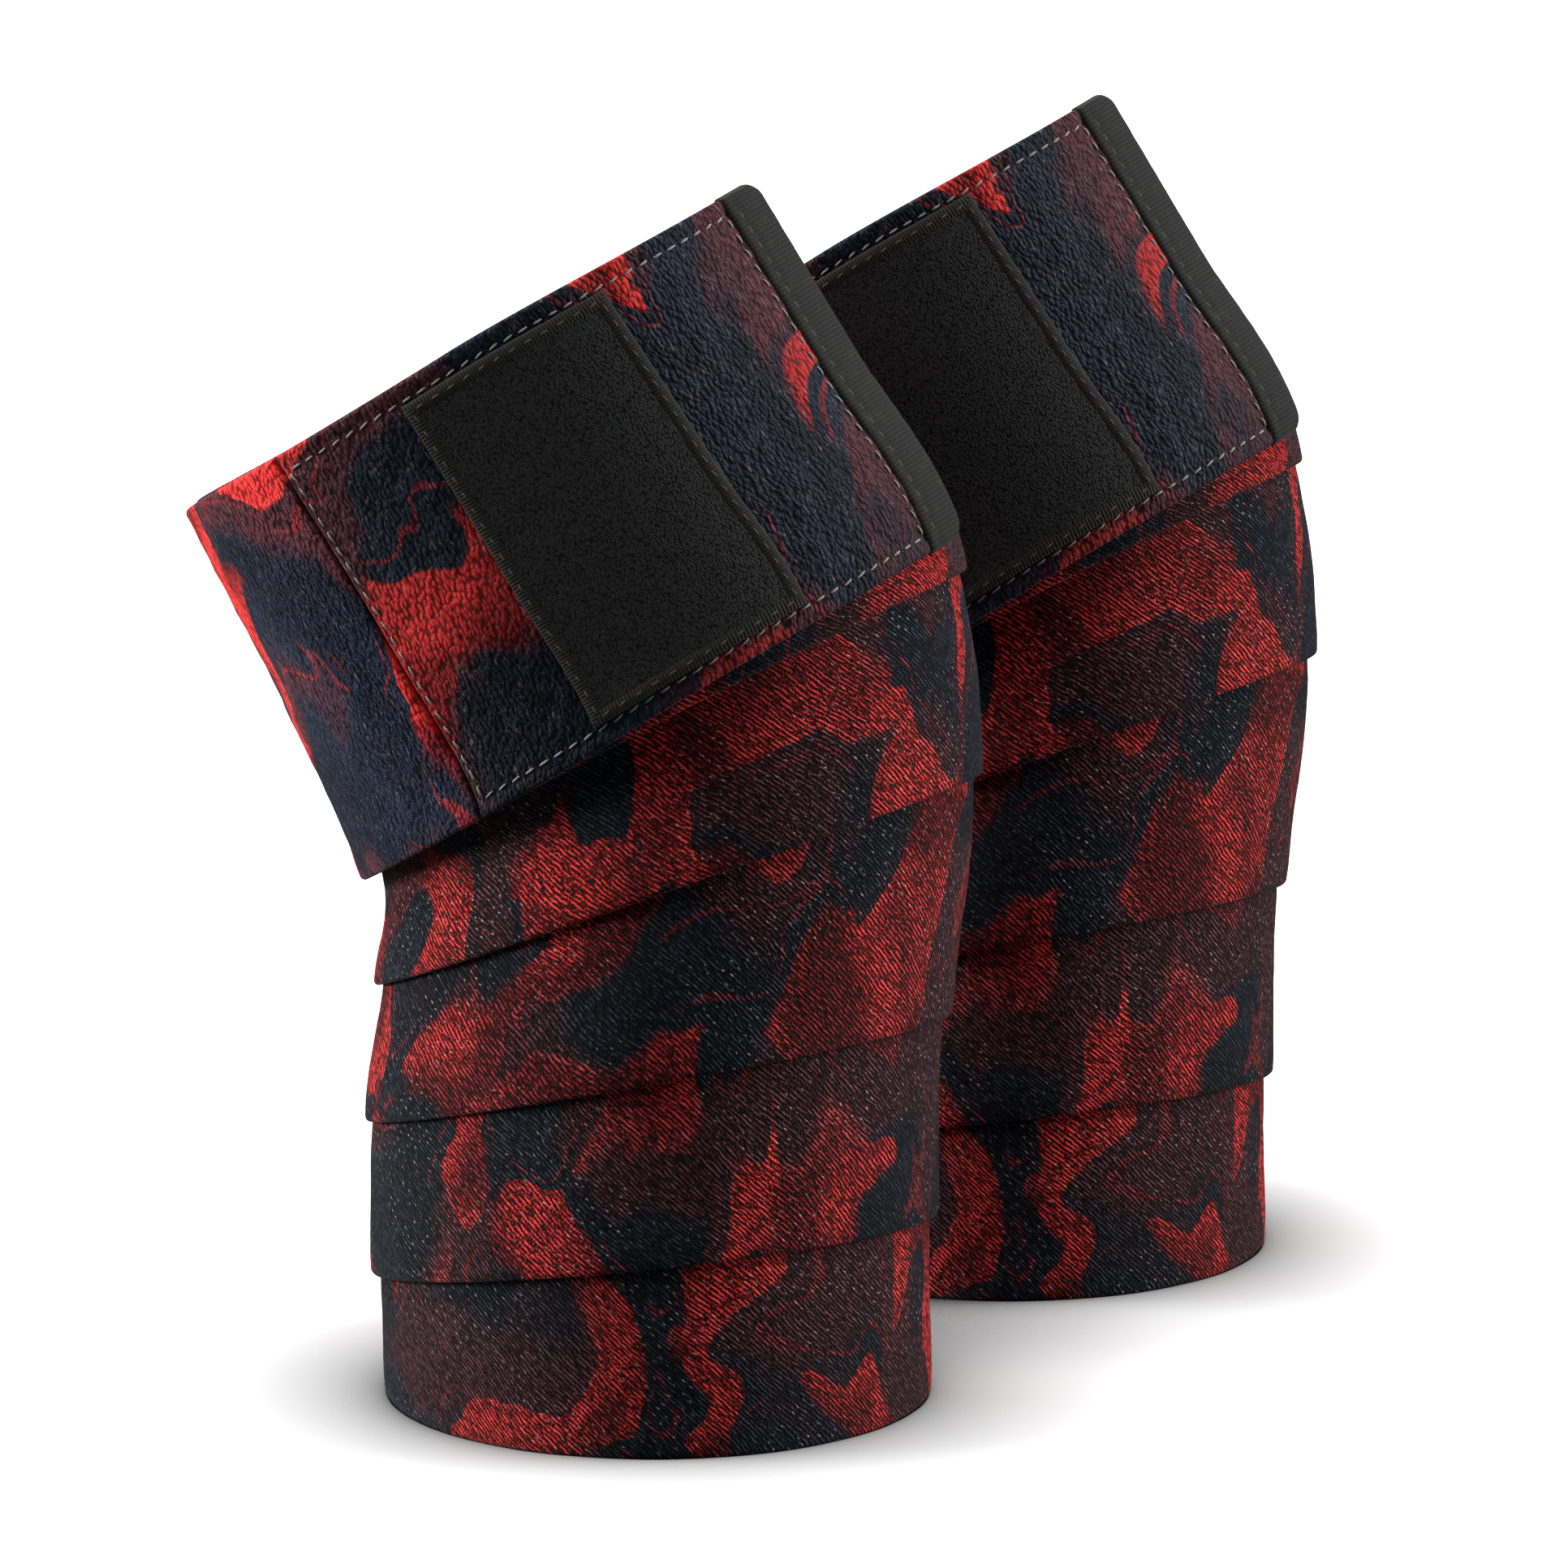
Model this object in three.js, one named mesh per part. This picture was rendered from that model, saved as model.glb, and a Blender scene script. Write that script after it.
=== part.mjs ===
// A pair of elastic joint wraps (knee or hand wraps), each one wound as it sits on a bent leg.
// Millimetres, +Z up, standing on z = 0. Each wrap is one 80 mm wide elastic strip in six
// overlapping turns, closed by a hook-and-loop tab with a blank patch and a bound end.
import * as THREE from "three";

// --- Driving dimensions -------------------------------------------------------------------
const STRIP_WIDTH = 80;
const STRIP_THICKNESS = 1.2;
const LAYER_PITCH = 2; // growth of the roll in one turn: the strip and the air above it
const TURN_STEP = 15; // degrees between two sections: every piece bends at these angles
const STRIP_DIVISIONS = 8; // facets across the strip
const END_GAP = 0.35; // degrees left open where one turn's solid meets the next

// Where the calf axis of each wrap stands, so that the pair's box is centred on the origin.
const FRONT_PLACE = [-22.1, -66.8];
const REAR_OFFSET = [70.9, 120];

// The inner form that the strip is wound on: a bent leg, as rings at even steps of u.
// left and right are the ring's ends in the XZ plane, depth is its half size along Y,
// tilt lifts its near side (degrees), lean moves its centre back, square is the exponent of
// its superellipse, and twist turns its points about the leg (degrees).
const RINGS = [
  { left: [-52, 0], right: [51.6, 0], depth: 52, tilt: 0, lean: 0, square: 2, twist: 0 },
  { left: [-52.5, 23.3], right: [50.8, 35], depth: 51, tilt: 9, lean: 0, square: 2, twist: 0 },
  { left: [-51.9, 53], right: [51.3, 74.7], depth: 50, tilt: 10, lean: 3, square: 2, twist: 0 },
  { left: [-48, 79], right: [55.4, 121.7], depth: 48, tilt: 11, lean: 6, square: 2.1, twist: 0 },
  { left: [-46, 102.5], right: [48.6, 166.5], depth: 47, tilt: 12, lean: 9, square: 2.2, twist: 0 },
  { left: [-60.5, 138.5], right: [29.5, 198.5], depth: 47.5, tilt: 12, lean: 9.5, square: 2.3, twist: -2 },
  { left: [-78.5, 175], right: [10.5, 230.5], depth: 48, tilt: 12, lean: 10, square: 2.4, twist: -4 },
];

// The strip's lower edge: [turning angle in degrees, u]. It lies level at the foot, then each
// turn climbs behind the leg. Angle 0 is at +X, 90 behind, 180 at -X and 270 in front.
const STRIP_START = -30;
const EDGE_KEYS = [
  [STRIP_START, 0],
  [360, 0],
  [540, 1],
  [720, 1],
  [900, 2],
  [1080, 2],
  [1260, 3],
  [1440, 3],
  [1620, 4.06],
  [1800, 3.82],
  [1980, 4],
  [2200, 4],
];
const TURN_JOINS = [450, 810, 1170, 1530, 1890]; // where the solid of one turn ends, behind the leg

// The closure tab, in its own chart: a runs along the tab from its root, s up from its lower
// edge, and d outwards from the middle of the turn beneath it.
const TAB_TURN = 1800; // the tab lies on the last turn, one turn after the strip below it
const TAB_ROOT_ANGLE = 235.2;
const TAB_LENGTH = 119.8;
const RAMP_ANGLE = 70; // the strip rises over this angle to the level of the tab
const GAP = 0.4;
const LOOP_THICKNESS = 0.6;
const HOOK_THICKNESS = 0.8;
const FACING_THICKNESS = 1;
const PATCH_THICKNESS = 0.8;
const BORDER_THICKNESS = 1.2;
const BINDING_THICKNESS = 0.7;
const THREAD = 0.4;
const LOOP_LEVEL = STRIP_THICKNESS / 2 + GAP;
const HOOK_LEVEL = LOOP_LEVEL + LOOP_THICKNESS + GAP;
const FACING_LEVEL = HOOK_LEVEL + HOOK_THICKNESS + GAP;
const TOP_LEVEL = FACING_LEVEL + FACING_THICKNESS + GAP; // what is sewn onto the facing
const HINGE_LEVEL = TOP_LEVEL + 0.3;

const PATCH = { start: 28.8, length: 45, inset: 4.2, border: 3 };
const BINDING_WIDTH = 14;
const SEAM_INSET = 3.5;
const LOOP_PANEL = { start: 6, end: 101, low: 9, high: 72 };
const HOOK_PANEL = { start: 4, end: 103.5, low: 2.5, high: 77.5 };
const HEM_LENGTH = 15; // degrees of the first turn that the folded hem covers
const HEM_THICKNESS = 1;

// --- The wound form -----------------------------------------------------------------------
const radians = THREE.MathUtils.degToRad;

// A Catmull-Rom blend of four neighbouring values.
function blend(a, b, c, d, t) {
  const t2 = t * t;
  const t3 = t2 * t;
  const slope = (c - a) * t + (2 * a - 5 * b + 4 * c - d) * t2 + (3 * b - a - 3 * c + d) * t3;
  return b + slope / 2;
}

// A ring's value at u, straight on beyond the first and last rings.
function ringValue(read, u) {
  const last = RINGS.length - 1;
  const i = Math.min(Math.max(Math.floor(u), 0), last - 1);
  const at = (k) => {
    if (k < 0) return 2 * read(RINGS[0]) - read(RINGS[1]);
    if (k > last) return 2 * read(RINGS[last]) - read(RINGS[last - 1]);
    return read(RINGS[k]);
  };
  return blend(at(i - 1), at(i), at(i + 1), at(i + 2), u - i);
}

function formPoint(angle, u) {
  const turned = radians(angle + ringValue((r) => r.twist, u));
  const c = Math.cos(turned);
  const s = Math.sin(turned);
  const square = ringValue((r) => r.square, u);
  const reach = (Math.abs(c) ** square + Math.abs(s) ** square) ** (-1 / square);
  const left = [ringValue((r) => r.left[0], u), ringValue((r) => r.left[1], u)];
  const right = [ringValue((r) => r.right[0], u), ringValue((r) => r.right[1], u)];
  const depth = ringValue((r) => r.depth, u);
  const tilt = radians(ringValue((r) => r.tilt, u));
  const along = reach * c;
  const across = reach * s * depth;
  return new THREE.Vector3(
    (left[0] + right[0]) / 2 + (along * (right[0] - left[0])) / 2,
    ringValue((r) => r.lean, u) + across * Math.cos(tilt),
    (left[1] + right[1]) / 2 + (along * (right[1] - left[1])) / 2 - across * Math.sin(tilt),
  );
}

// The point at a distance outside the form, along its normal.
function roundPoint(angle, u, distance) {
  const small = 0.01;
  const around = formPoint(angle + small, u).sub(formPoint(angle - small, u));
  const up = formPoint(angle, u + small).sub(formPoint(angle, u - small));
  const normal = around.cross(up).normalize();
  return formPoint(angle, u).addScaledVector(normal, distance);
}

// The same point on flat facets, so that every layer bends at the same angles and stays clear.
function surfacePoint(angle, u, distance) {
  const low = Math.floor(angle / TURN_STEP) * TURN_STEP;
  const share = (angle - low) / TURN_STEP;
  const here = roundPoint(low, u, distance);
  return share > 0 ? here.lerp(roundPoint(low + TURN_STEP, u, distance), share) : here;
}

// The angles of the sections from one angle to another, with the bends between them.
function sections(from, to) {
  const angles = [from];
  for (let a = Math.ceil(from / TURN_STEP) * TURN_STEP; a < to - 0.1; a += TURN_STEP) {
    if (a > from + 0.1) angles.push(a);
  }
  return [...angles, to];
}

// The values of u at even distances up a strip of a given width, on the surface it lies on.
function climb(angle, lowU, distance, width, divisions) {
  const found = [lowU];
  const step = 0.02;
  let u = lowU;
  let travelled = 0;
  let last = surfacePoint(angle, u, distance);
  while (found.length <= divisions) {
    const next = surfacePoint(angle, u + step, distance);
    const stride = next.distanceTo(last);
    while (found.length <= divisions && travelled + stride >= (width * found.length) / divisions) {
      const share = ((width * found.length) / divisions - travelled) / stride;
      found.push(u + step * share);
    }
    travelled += stride;
    last = next;
    u += step;
  }
  return found;
}

function ease(t) {
  const held = Math.min(Math.max(t, 0), 1);
  return (1 - Math.cos(Math.PI * held)) / 2;
}

function edgeU(turning) {
  const i = EDGE_KEYS.findIndex(([angle]) => angle >= turning);
  if (i <= 0) return EDGE_KEYS[0][1];
  const [[a0, u0], [a1, u1]] = [EDGE_KEYS[i - 1], EDGE_KEYS[i]];
  return u0 + (u1 - u0) * ease((turning - a0) / (a1 - a0));
}

// How far the strip's middle lies outside the form: a spiral that grows by one pitch a turn,
// and rises at its end to the level of the tab's facing.
function layer(turning) {
  return (LAYER_PITCH * turning) / 360;
}

const TAB_ROOT = TAB_TURN + TAB_ROOT_ANGLE;
function stripLevel(turning) {
  const tabLevel = layer(TAB_ROOT - 360) + FACING_LEVEL + FACING_THICKNESS / 2;
  const rise = tabLevel - layer(TAB_ROOT);
  return layer(turning) + rise * ease((turning - TAB_ROOT + RAMP_ANGLE) / RAMP_ANGLE);
}

// --- Solids -------------------------------------------------------------------------------
// A closed solid from rows of points that all have the same count. Each row is a closed loop.
// The rows join into a tube, and caps closes its two ends, or closed joins them. Each quad is
// cut along the same diagonal on both faces: backward tells which side of a loop runs back.
function tube(rows, caps, { closed = false, backward = (k, n) => 2 * k >= n } = {}) {
  const n = rows[0].length;
  const faces = [];
  const bands = closed ? rows.length : rows.length - 1;
  for (let r = 0; r < bands; r += 1) {
    const here = r * n;
    const next = ((r + 1) % rows.length) * n;
    for (let k = 0; k < n; k += 1) {
      const k2 = (k + 1) % n;
      if (backward(k, n)) {
        faces.push([here + k, next + k, here + k2], [next + k, next + k2, here + k2]);
      } else {
        faces.push([here + k, next + k, next + k2], [here + k, next + k2, here + k2]);
      }
    }
  }
  if (!closed) {
    const end = (rows.length - 1) * n;
    for (const [a, b, c] of caps) {
      faces.push([a, b, c], [end + a, end + c, end + b]);
    }
  }
  const points = rows.flat();
  const volume = faces.reduce((sum, [a, b, c]) => {
    return sum + points[a].dot(new THREE.Vector3().crossVectors(points[b], points[c]));
  }, 0);
  const outward = volume > 0 ? faces : faces.map(([a, b, c]) => [a, c, b]);
  const geometry = new THREE.BufferGeometry().setFromPoints(points);
  geometry.setIndex(outward.flat());
  geometry.computeVertexNormals();
  return geometry;
}

// The triangles that close a section of a flat strip, whose loop goes up its outer face and
// down its inner face.
function stripCaps(divisions) {
  const n = 2 * (divisions + 1);
  const caps = [];
  for (let j = 0; j < divisions; j += 1) {
    caps.push([j, j + 1, n - 2 - j], [j, n - 2 - j, n - 1 - j]);
  }
  return caps;
}

function stripSection(turning, level, thickness, divisions, low = 0, width = STRIP_WIDTH) {
  const start = low > 0 ? climb(turning, edgeU(turning), level, low, 1)[1] : edgeU(turning);
  const heights = climb(turning, start, level, width, divisions);
  const face = (offset) =>
    heights.map((u) => {
      const p = surfacePoint(turning, u, level + offset);
      return u === 0 ? p.setZ(0) : p; // the strip stands on its level edge
    });
  return [...face(thickness / 2), ...face(-thickness / 2).reverse()];
}

function stripSolid(from, to, level, thickness, low = 0, width = STRIP_WIDTH) {
  const rows = sections(from, to).map((a) =>
    stripSection(a, level(a), thickness, STRIP_DIVISIONS, low, width),
  );
  return tube(rows, stripCaps(STRIP_DIVISIONS));
}

// --- The tab's chart ----------------------------------------------------------------------
const TAB_STEPS = 400;
const TAB_SPAN = 140; // degrees that the chart covers from the tab's root
const MIDDLE_U = 5;

function facingLevel(angle) {
  return layer(TAB_TURN - 360 + angle) + FACING_LEVEL + FACING_THICKNESS / 2;
}

const chartTravels = [0];
let chartTravel = 0;
const chartTable = Array.from({ length: TAB_STEPS + 1 }, (_, i) => {
  const angle = TAB_ROOT_ANGLE + (TAB_SPAN * i) / TAB_STEPS;
  return { angle, point: surfacePoint(angle, MIDDLE_U, facingLevel(angle)) };
});
for (let i = 1; i <= TAB_STEPS; i += 1) {
  chartTravel += chartTable[i].point.distanceTo(chartTable[i - 1].point);
  chartTravels.push(chartTravel);
}

// The angle at a length along the tab, and the length at an angle.
function chartAngle(a) {
  const i = Math.max(chartTravels.findIndex((travel) => travel >= a), 1);
  const share = (a - chartTravels[i - 1]) / (chartTravels[i] - chartTravels[i - 1]);
  return chartTable[i - 1].angle + share * (chartTable[i].angle - chartTable[i - 1].angle);
}

function chartTravelAt(angle) {
  const place = ((angle - TAB_ROOT_ANGLE) * TAB_STEPS) / TAB_SPAN;
  const i = Math.min(Math.floor(place), TAB_STEPS - 1);
  return chartTravels[i] + (place - i) * (chartTravels[i + 1] - chartTravels[i]);
}

// Lengths along the tab from a0 to a1, with every bend between them.
function bends(a0, a1) {
  return sections(chartAngle(a0), chartAngle(a1)).map(chartTravelAt);
}

function tabPoint(a, s, d) {
  const angle = chartAngle(a);
  const lowU = edgeU(TAB_TURN + angle);
  const level = facingLevel(angle);
  const u = s > 0 ? climb(angle, lowU, level, s, 1)[1] : lowU;
  return surfacePoint(angle, u, layer(TAB_TURN - 360 + angle) + d);
}

function evenly(from, to, count) {
  return Array.from({ length: count + 1 }, (_, i) => from + ((to - from) * i) / count);
}

// A flat piece of the tab: a rectangle of the chart, from one level to another.
function panel(a0, a1, s0, s1, level, thickness) {
  const heights = evenly(s0, s1, STRIP_DIVISIONS);
  const rows = bends(a0, a1).map((a) => [
    ...heights.map((s) => tabPoint(a, s, level + thickness)),
    ...heights.map((s) => tabPoint(a, s, level)).reverse(),
  ]);
  return tube(rows, stripCaps(STRIP_DIVISIONS));
}

// A band of square section along a path of the chart, with mitred corners.
function ribbon(path, width, level, thickness, closed, place = tabPoint) {
  const count = path.length;
  const rows = path.map(([a, s], i) => {
    const before = path[closed ? (i + count - 1) % count : Math.max(i - 1, 0)];
    const after = path[closed ? (i + 1) % count : Math.min(i + 1, count - 1)];
    const here = new THREE.Vector2(a, s);
    const into = new THREE.Vector2(a - before[0], s - before[1]).normalize();
    const out = new THREE.Vector2(after[0] - a, after[1] - s).normalize();
    if (into.length() === 0) into.copy(out);
    if (out.length() === 0) out.copy(into);
    const side = new THREE.Vector2(-into.y - out.y, into.x + out.x).normalize();
    const mitre = width / 2 / Math.max(side.dot(new THREE.Vector2(-into.y, into.x)), 0.5);
    const plus = here.clone().addScaledVector(side, mitre);
    const minus = here.clone().addScaledVector(side, -mitre);
    return [
      place(plus.x, plus.y, level),
      place(plus.x, plus.y, level + thickness),
      place(minus.x, minus.y, level + thickness),
      place(minus.x, minus.y, level),
    ];
  });
  return tube(
    rows,
    [
      [0, 1, 2],
      [0, 2, 3],
    ],
    { closed },
  );
}

// A rectangular path round the chart, with points at every bend.
function rectangle(a0, a1, s0, s1) {
  const along = bends(a0, a1);
  const across = evenly(s0, s1, STRIP_DIVISIONS);
  return [
    ...along.map((a) => [a, s0]),
    ...across.slice(1).map((s) => [a1, s]),
    ...along.reverse().slice(1).map((a) => [a, s1]),
    ...across.reverse().slice(1, -1).map((s) => [a0, s]),
  ];
}

// The tape folded over the tab's end: a U of two leaves that holds the facing between them.
function bindingSolid() {
  const start = TAB_LENGTH - BINDING_WIDTH;
  const inside = TAB_LENGTH + GAP;
  const outer = TOP_LEVEL;
  const inner = FACING_LEVEL - GAP;
  const inward = bends(start, inside);
  const outward = [...inward.slice(0, -1), inside + BINDING_THICKNESS];
  const loop = [
    ...inward.map((a) => [a, outer]),
    ...inward.toReversed().map((a) => [a, inner]),
    ...outward.map((a) => [a, inner - BINDING_THICKNESS]),
    ...outward.toReversed().map((a) => [a, outer + BINDING_THICKNESS]),
  ];
  const rows = evenly(0, STRIP_WIDTH, STRIP_DIVISIONS).map((s) =>
    loop.map(([a, d]) => tabPoint(a, s, d)),
  );
  const count = inward.length;
  const backward = (k) => Math.floor(k / count) % 2 === 1;
  return tube(rows, stripCaps(2 * count - 1), { backward });
}

// --- The pieces of one wrap ---------------------------------------------------------------
function fabric(colour, roughness) {
  return new THREE.MeshStandardMaterial({ color: colour, roughness, metalness: 0 });
}

const STRIP_FABRIC = fabric(0x5a1a20, 0.85);
const FACING_FABRIC = fabric(0x4a1f2a, 0.8);
const BLACK_PATCH = fabric(0x161617, 0.75);
const BLACK_TAPE = fabric(0x1f1f1e, 0.9);
const HOOK_TAPE = fabric(0x101012, 0.95);
const LOOP_TAPE = fabric(0x121216, 0.95);
const PALE_THREAD = fabric(0xb9b7ae, 0.7);
const BLACK_THREAD = fabric(0x2a2a28, 0.7);

function turnPieces() {
  const joins = [STRIP_START, ...TURN_JOINS, TAB_ROOT];
  return joins.slice(1).map((join, i) => {
    const last = i === joins.length - 2;
    const solid = stripSolid(joins[i], join - (last ? 0 : END_GAP), stripLevel, STRIP_THICKNESS);
    return [`turn_${i + 1}`, solid, STRIP_FABRIC];
  });
}

function hemPieces() {
  const inner = -STRIP_THICKNESS / 2 - GAP;
  const hemLevel = () => layer(STRIP_START) + inner - HEM_THICKNESS / 2;
  const hem = stripSolid(
    STRIP_START,
    STRIP_START + HEM_LENGTH,
    hemLevel,
    HEM_THICKNESS,
    1,
    STRIP_WIDTH - 2,
  );
  const seamAngle = STRIP_START + HEM_LENGTH / 2;
  const under = layer(STRIP_START) + inner - HEM_THICKNESS - GAP;
  const place = (a, s, d) => {
    const u = climb(seamAngle, 0, under, s, 1)[1];
    return surfacePoint(seamAngle + a, u, under + d);
  };
  const seam = evenly(4, STRIP_WIDTH - 4, STRIP_DIVISIONS).map((s) => [0, s]);
  return [
    ["start_hem", hem, STRIP_FABRIC],
    ["hem_stitching", ribbon(seam, THREAD, -THREAD, THREAD, false, place), BLACK_THREAD],
  ];
}

function loopPieces() {
  const { start, end, low, high } = LOOP_PANEL;
  const solid = panel(start, end, low, high, LOOP_LEVEL, LOOP_THICKNESS);
  return [["loop_panel", solid, LOOP_TAPE]];
}

function tabPieces() {
  const patchEnd = PATCH.start + PATCH.length;
  const patchTop = STRIP_WIDTH - PATCH.inset;
  const half = PATCH.border / 2;
  const inside = PATCH.border + GAP;
  const facing = panel(GAP, TAB_LENGTH, 0, STRIP_WIDTH, FACING_LEVEL, FACING_THICKNESS);
  const { start, end, low, high } = HOOK_PANEL;
  const hook = panel(start, end, low, high, HOOK_LEVEL, HOOK_THICKNESS);
  const patch = panel(
    PATCH.start + inside,
    patchEnd - inside,
    PATCH.inset + inside,
    patchTop - inside,
    TOP_LEVEL,
    PATCH_THICKNESS,
  );
  const frame = rectangle(
    PATCH.start + half,
    patchEnd - half,
    PATCH.inset + half,
    patchTop - half,
  );
  const border = ribbon(frame, PATCH.border, TOP_LEVEL, BORDER_THICKNESS, true);
  const onBorder = TOP_LEVEL + BORDER_THICKNESS + GAP;
  const patchSeam = ribbon(frame, THREAD, onBorder, THREAD, true);
  const seamEnd = TAB_LENGTH - BINDING_WIDTH - 1;
  const box = rectangle(1.5, seamEnd, SEAM_INSET, STRIP_WIDTH - SEAM_INSET);
  const boxSeam = ribbon(box, THREAD, TOP_LEVEL, THREAD, true);
  const seamA = TAB_LENGTH - BINDING_WIDTH + 3;
  const line = evenly(3, STRIP_WIDTH - 3, STRIP_DIVISIONS).map((s) => [seamA, s]);
  const onBinding = TOP_LEVEL + BINDING_THICKNESS + GAP;
  return [
    ["tab_facing", facing, FACING_FABRIC],
    ["hook_panel", hook, HOOK_TAPE],
    ["patch", patch, BLACK_PATCH],
    ["patch_border", border, BLACK_TAPE],
    ["patch_stitching", patchSeam, BLACK_THREAD],
    ["end_binding", bindingSolid(), BLACK_TAPE],
    ["tab_stitching", boxSeam, PALE_THREAD],
    ["binding_stitching", ribbon(line, THREAD, onBinding, THREAD, false), BLACK_THREAD],
  ];
}

const PIECES = [...turnPieces(), ...hemPieces(), ...loopPieces(), ...tabPieces()];

function wrap(side, place) {
  const group = new THREE.Group();
  group.position.set(place[0], place[1], 0);
  for (const [name, geometry, material] of PIECES) {
    const mesh = new THREE.Mesh(geometry, material);
    mesh.name = `${side}_${name}`;
    group.add(mesh);
  }
  return group;
}

const pair = new THREE.Group();
pair.add(wrap("front", FRONT_PLACE));
pair.add(
  wrap("rear", [FRONT_PLACE[0] + REAR_OFFSET[0], FRONT_PLACE[1] + REAR_OFFSET[1]]),
);

export default pair;
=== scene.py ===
"""Looks for a pair of elastic joint wraps, each wound as it sits on a bent leg.

Lengths are millimetres while a piece is laid out, and become metres in its mesh. A wrap is one
printed elastic strip in six overlapping turns. Its end is sewn to a tab with a grained facing, a
blank patch and a bound end, and hook tape under the tab closes on loop tape on the turn beneath.
"""
import logging
import math
from collections.abc import Callable
from dataclasses import dataclass
from enum import Enum

import bpy
import numpy as np
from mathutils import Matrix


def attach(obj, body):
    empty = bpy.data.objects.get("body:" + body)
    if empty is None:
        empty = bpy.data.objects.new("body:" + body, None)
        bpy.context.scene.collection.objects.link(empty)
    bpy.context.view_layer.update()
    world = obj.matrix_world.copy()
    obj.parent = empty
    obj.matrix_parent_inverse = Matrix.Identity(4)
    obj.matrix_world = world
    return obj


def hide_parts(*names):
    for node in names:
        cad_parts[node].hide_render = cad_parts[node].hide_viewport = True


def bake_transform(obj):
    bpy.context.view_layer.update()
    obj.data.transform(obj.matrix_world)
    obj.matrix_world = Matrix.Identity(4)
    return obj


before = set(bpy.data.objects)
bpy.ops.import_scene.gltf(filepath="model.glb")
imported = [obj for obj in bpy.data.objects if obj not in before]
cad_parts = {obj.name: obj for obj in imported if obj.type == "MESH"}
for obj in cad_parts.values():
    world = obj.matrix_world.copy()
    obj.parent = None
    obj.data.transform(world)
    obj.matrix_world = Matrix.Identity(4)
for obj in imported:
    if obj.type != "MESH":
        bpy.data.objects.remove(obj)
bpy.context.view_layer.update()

MM = 0.001
LOG = logging.getLogger("wraps")
Placer = Callable[[np.ndarray, np.ndarray, np.ndarray], np.ndarray]


# --- The form that the strip is wound on ----------------------------------------------------
@dataclass(frozen=True)
class Ring:
    """One ring of the bent leg: its ends in the XZ plane, its depth along Y and its set."""

    left: tuple[float, float]
    right: tuple[float, float]
    depth: float
    tilt: float
    lean: float
    square: float
    twist: float

    def row(self) -> list[float]:
        """All the ring's values in one row."""
        return [*self.left, *self.right, self.depth, self.tilt, self.lean, self.square, self.twist]


RINGS = (
    Ring((-52, 0), (51.6, 0), 52, 0, 0, 2, 0),
    Ring((-52.5, 23.3), (50.8, 35), 51, 9, 0, 2, 0),
    Ring((-51.9, 53), (51.3, 74.7), 50, 10, 3, 2, 0),
    Ring((-48, 79), (55.4, 121.7), 48, 11, 6, 2.1, 0),
    Ring((-46, 102.5), (48.6, 166.5), 47, 12, 9, 2.2, 0),
    Ring((-60.5, 138.5), (29.5, 198.5), 47.5, 12, 9.5, 2.3, -2),
    Ring((-78.5, 175), (10.5, 230.5), 48, 12, 10, 2.4, -4),
)


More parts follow.
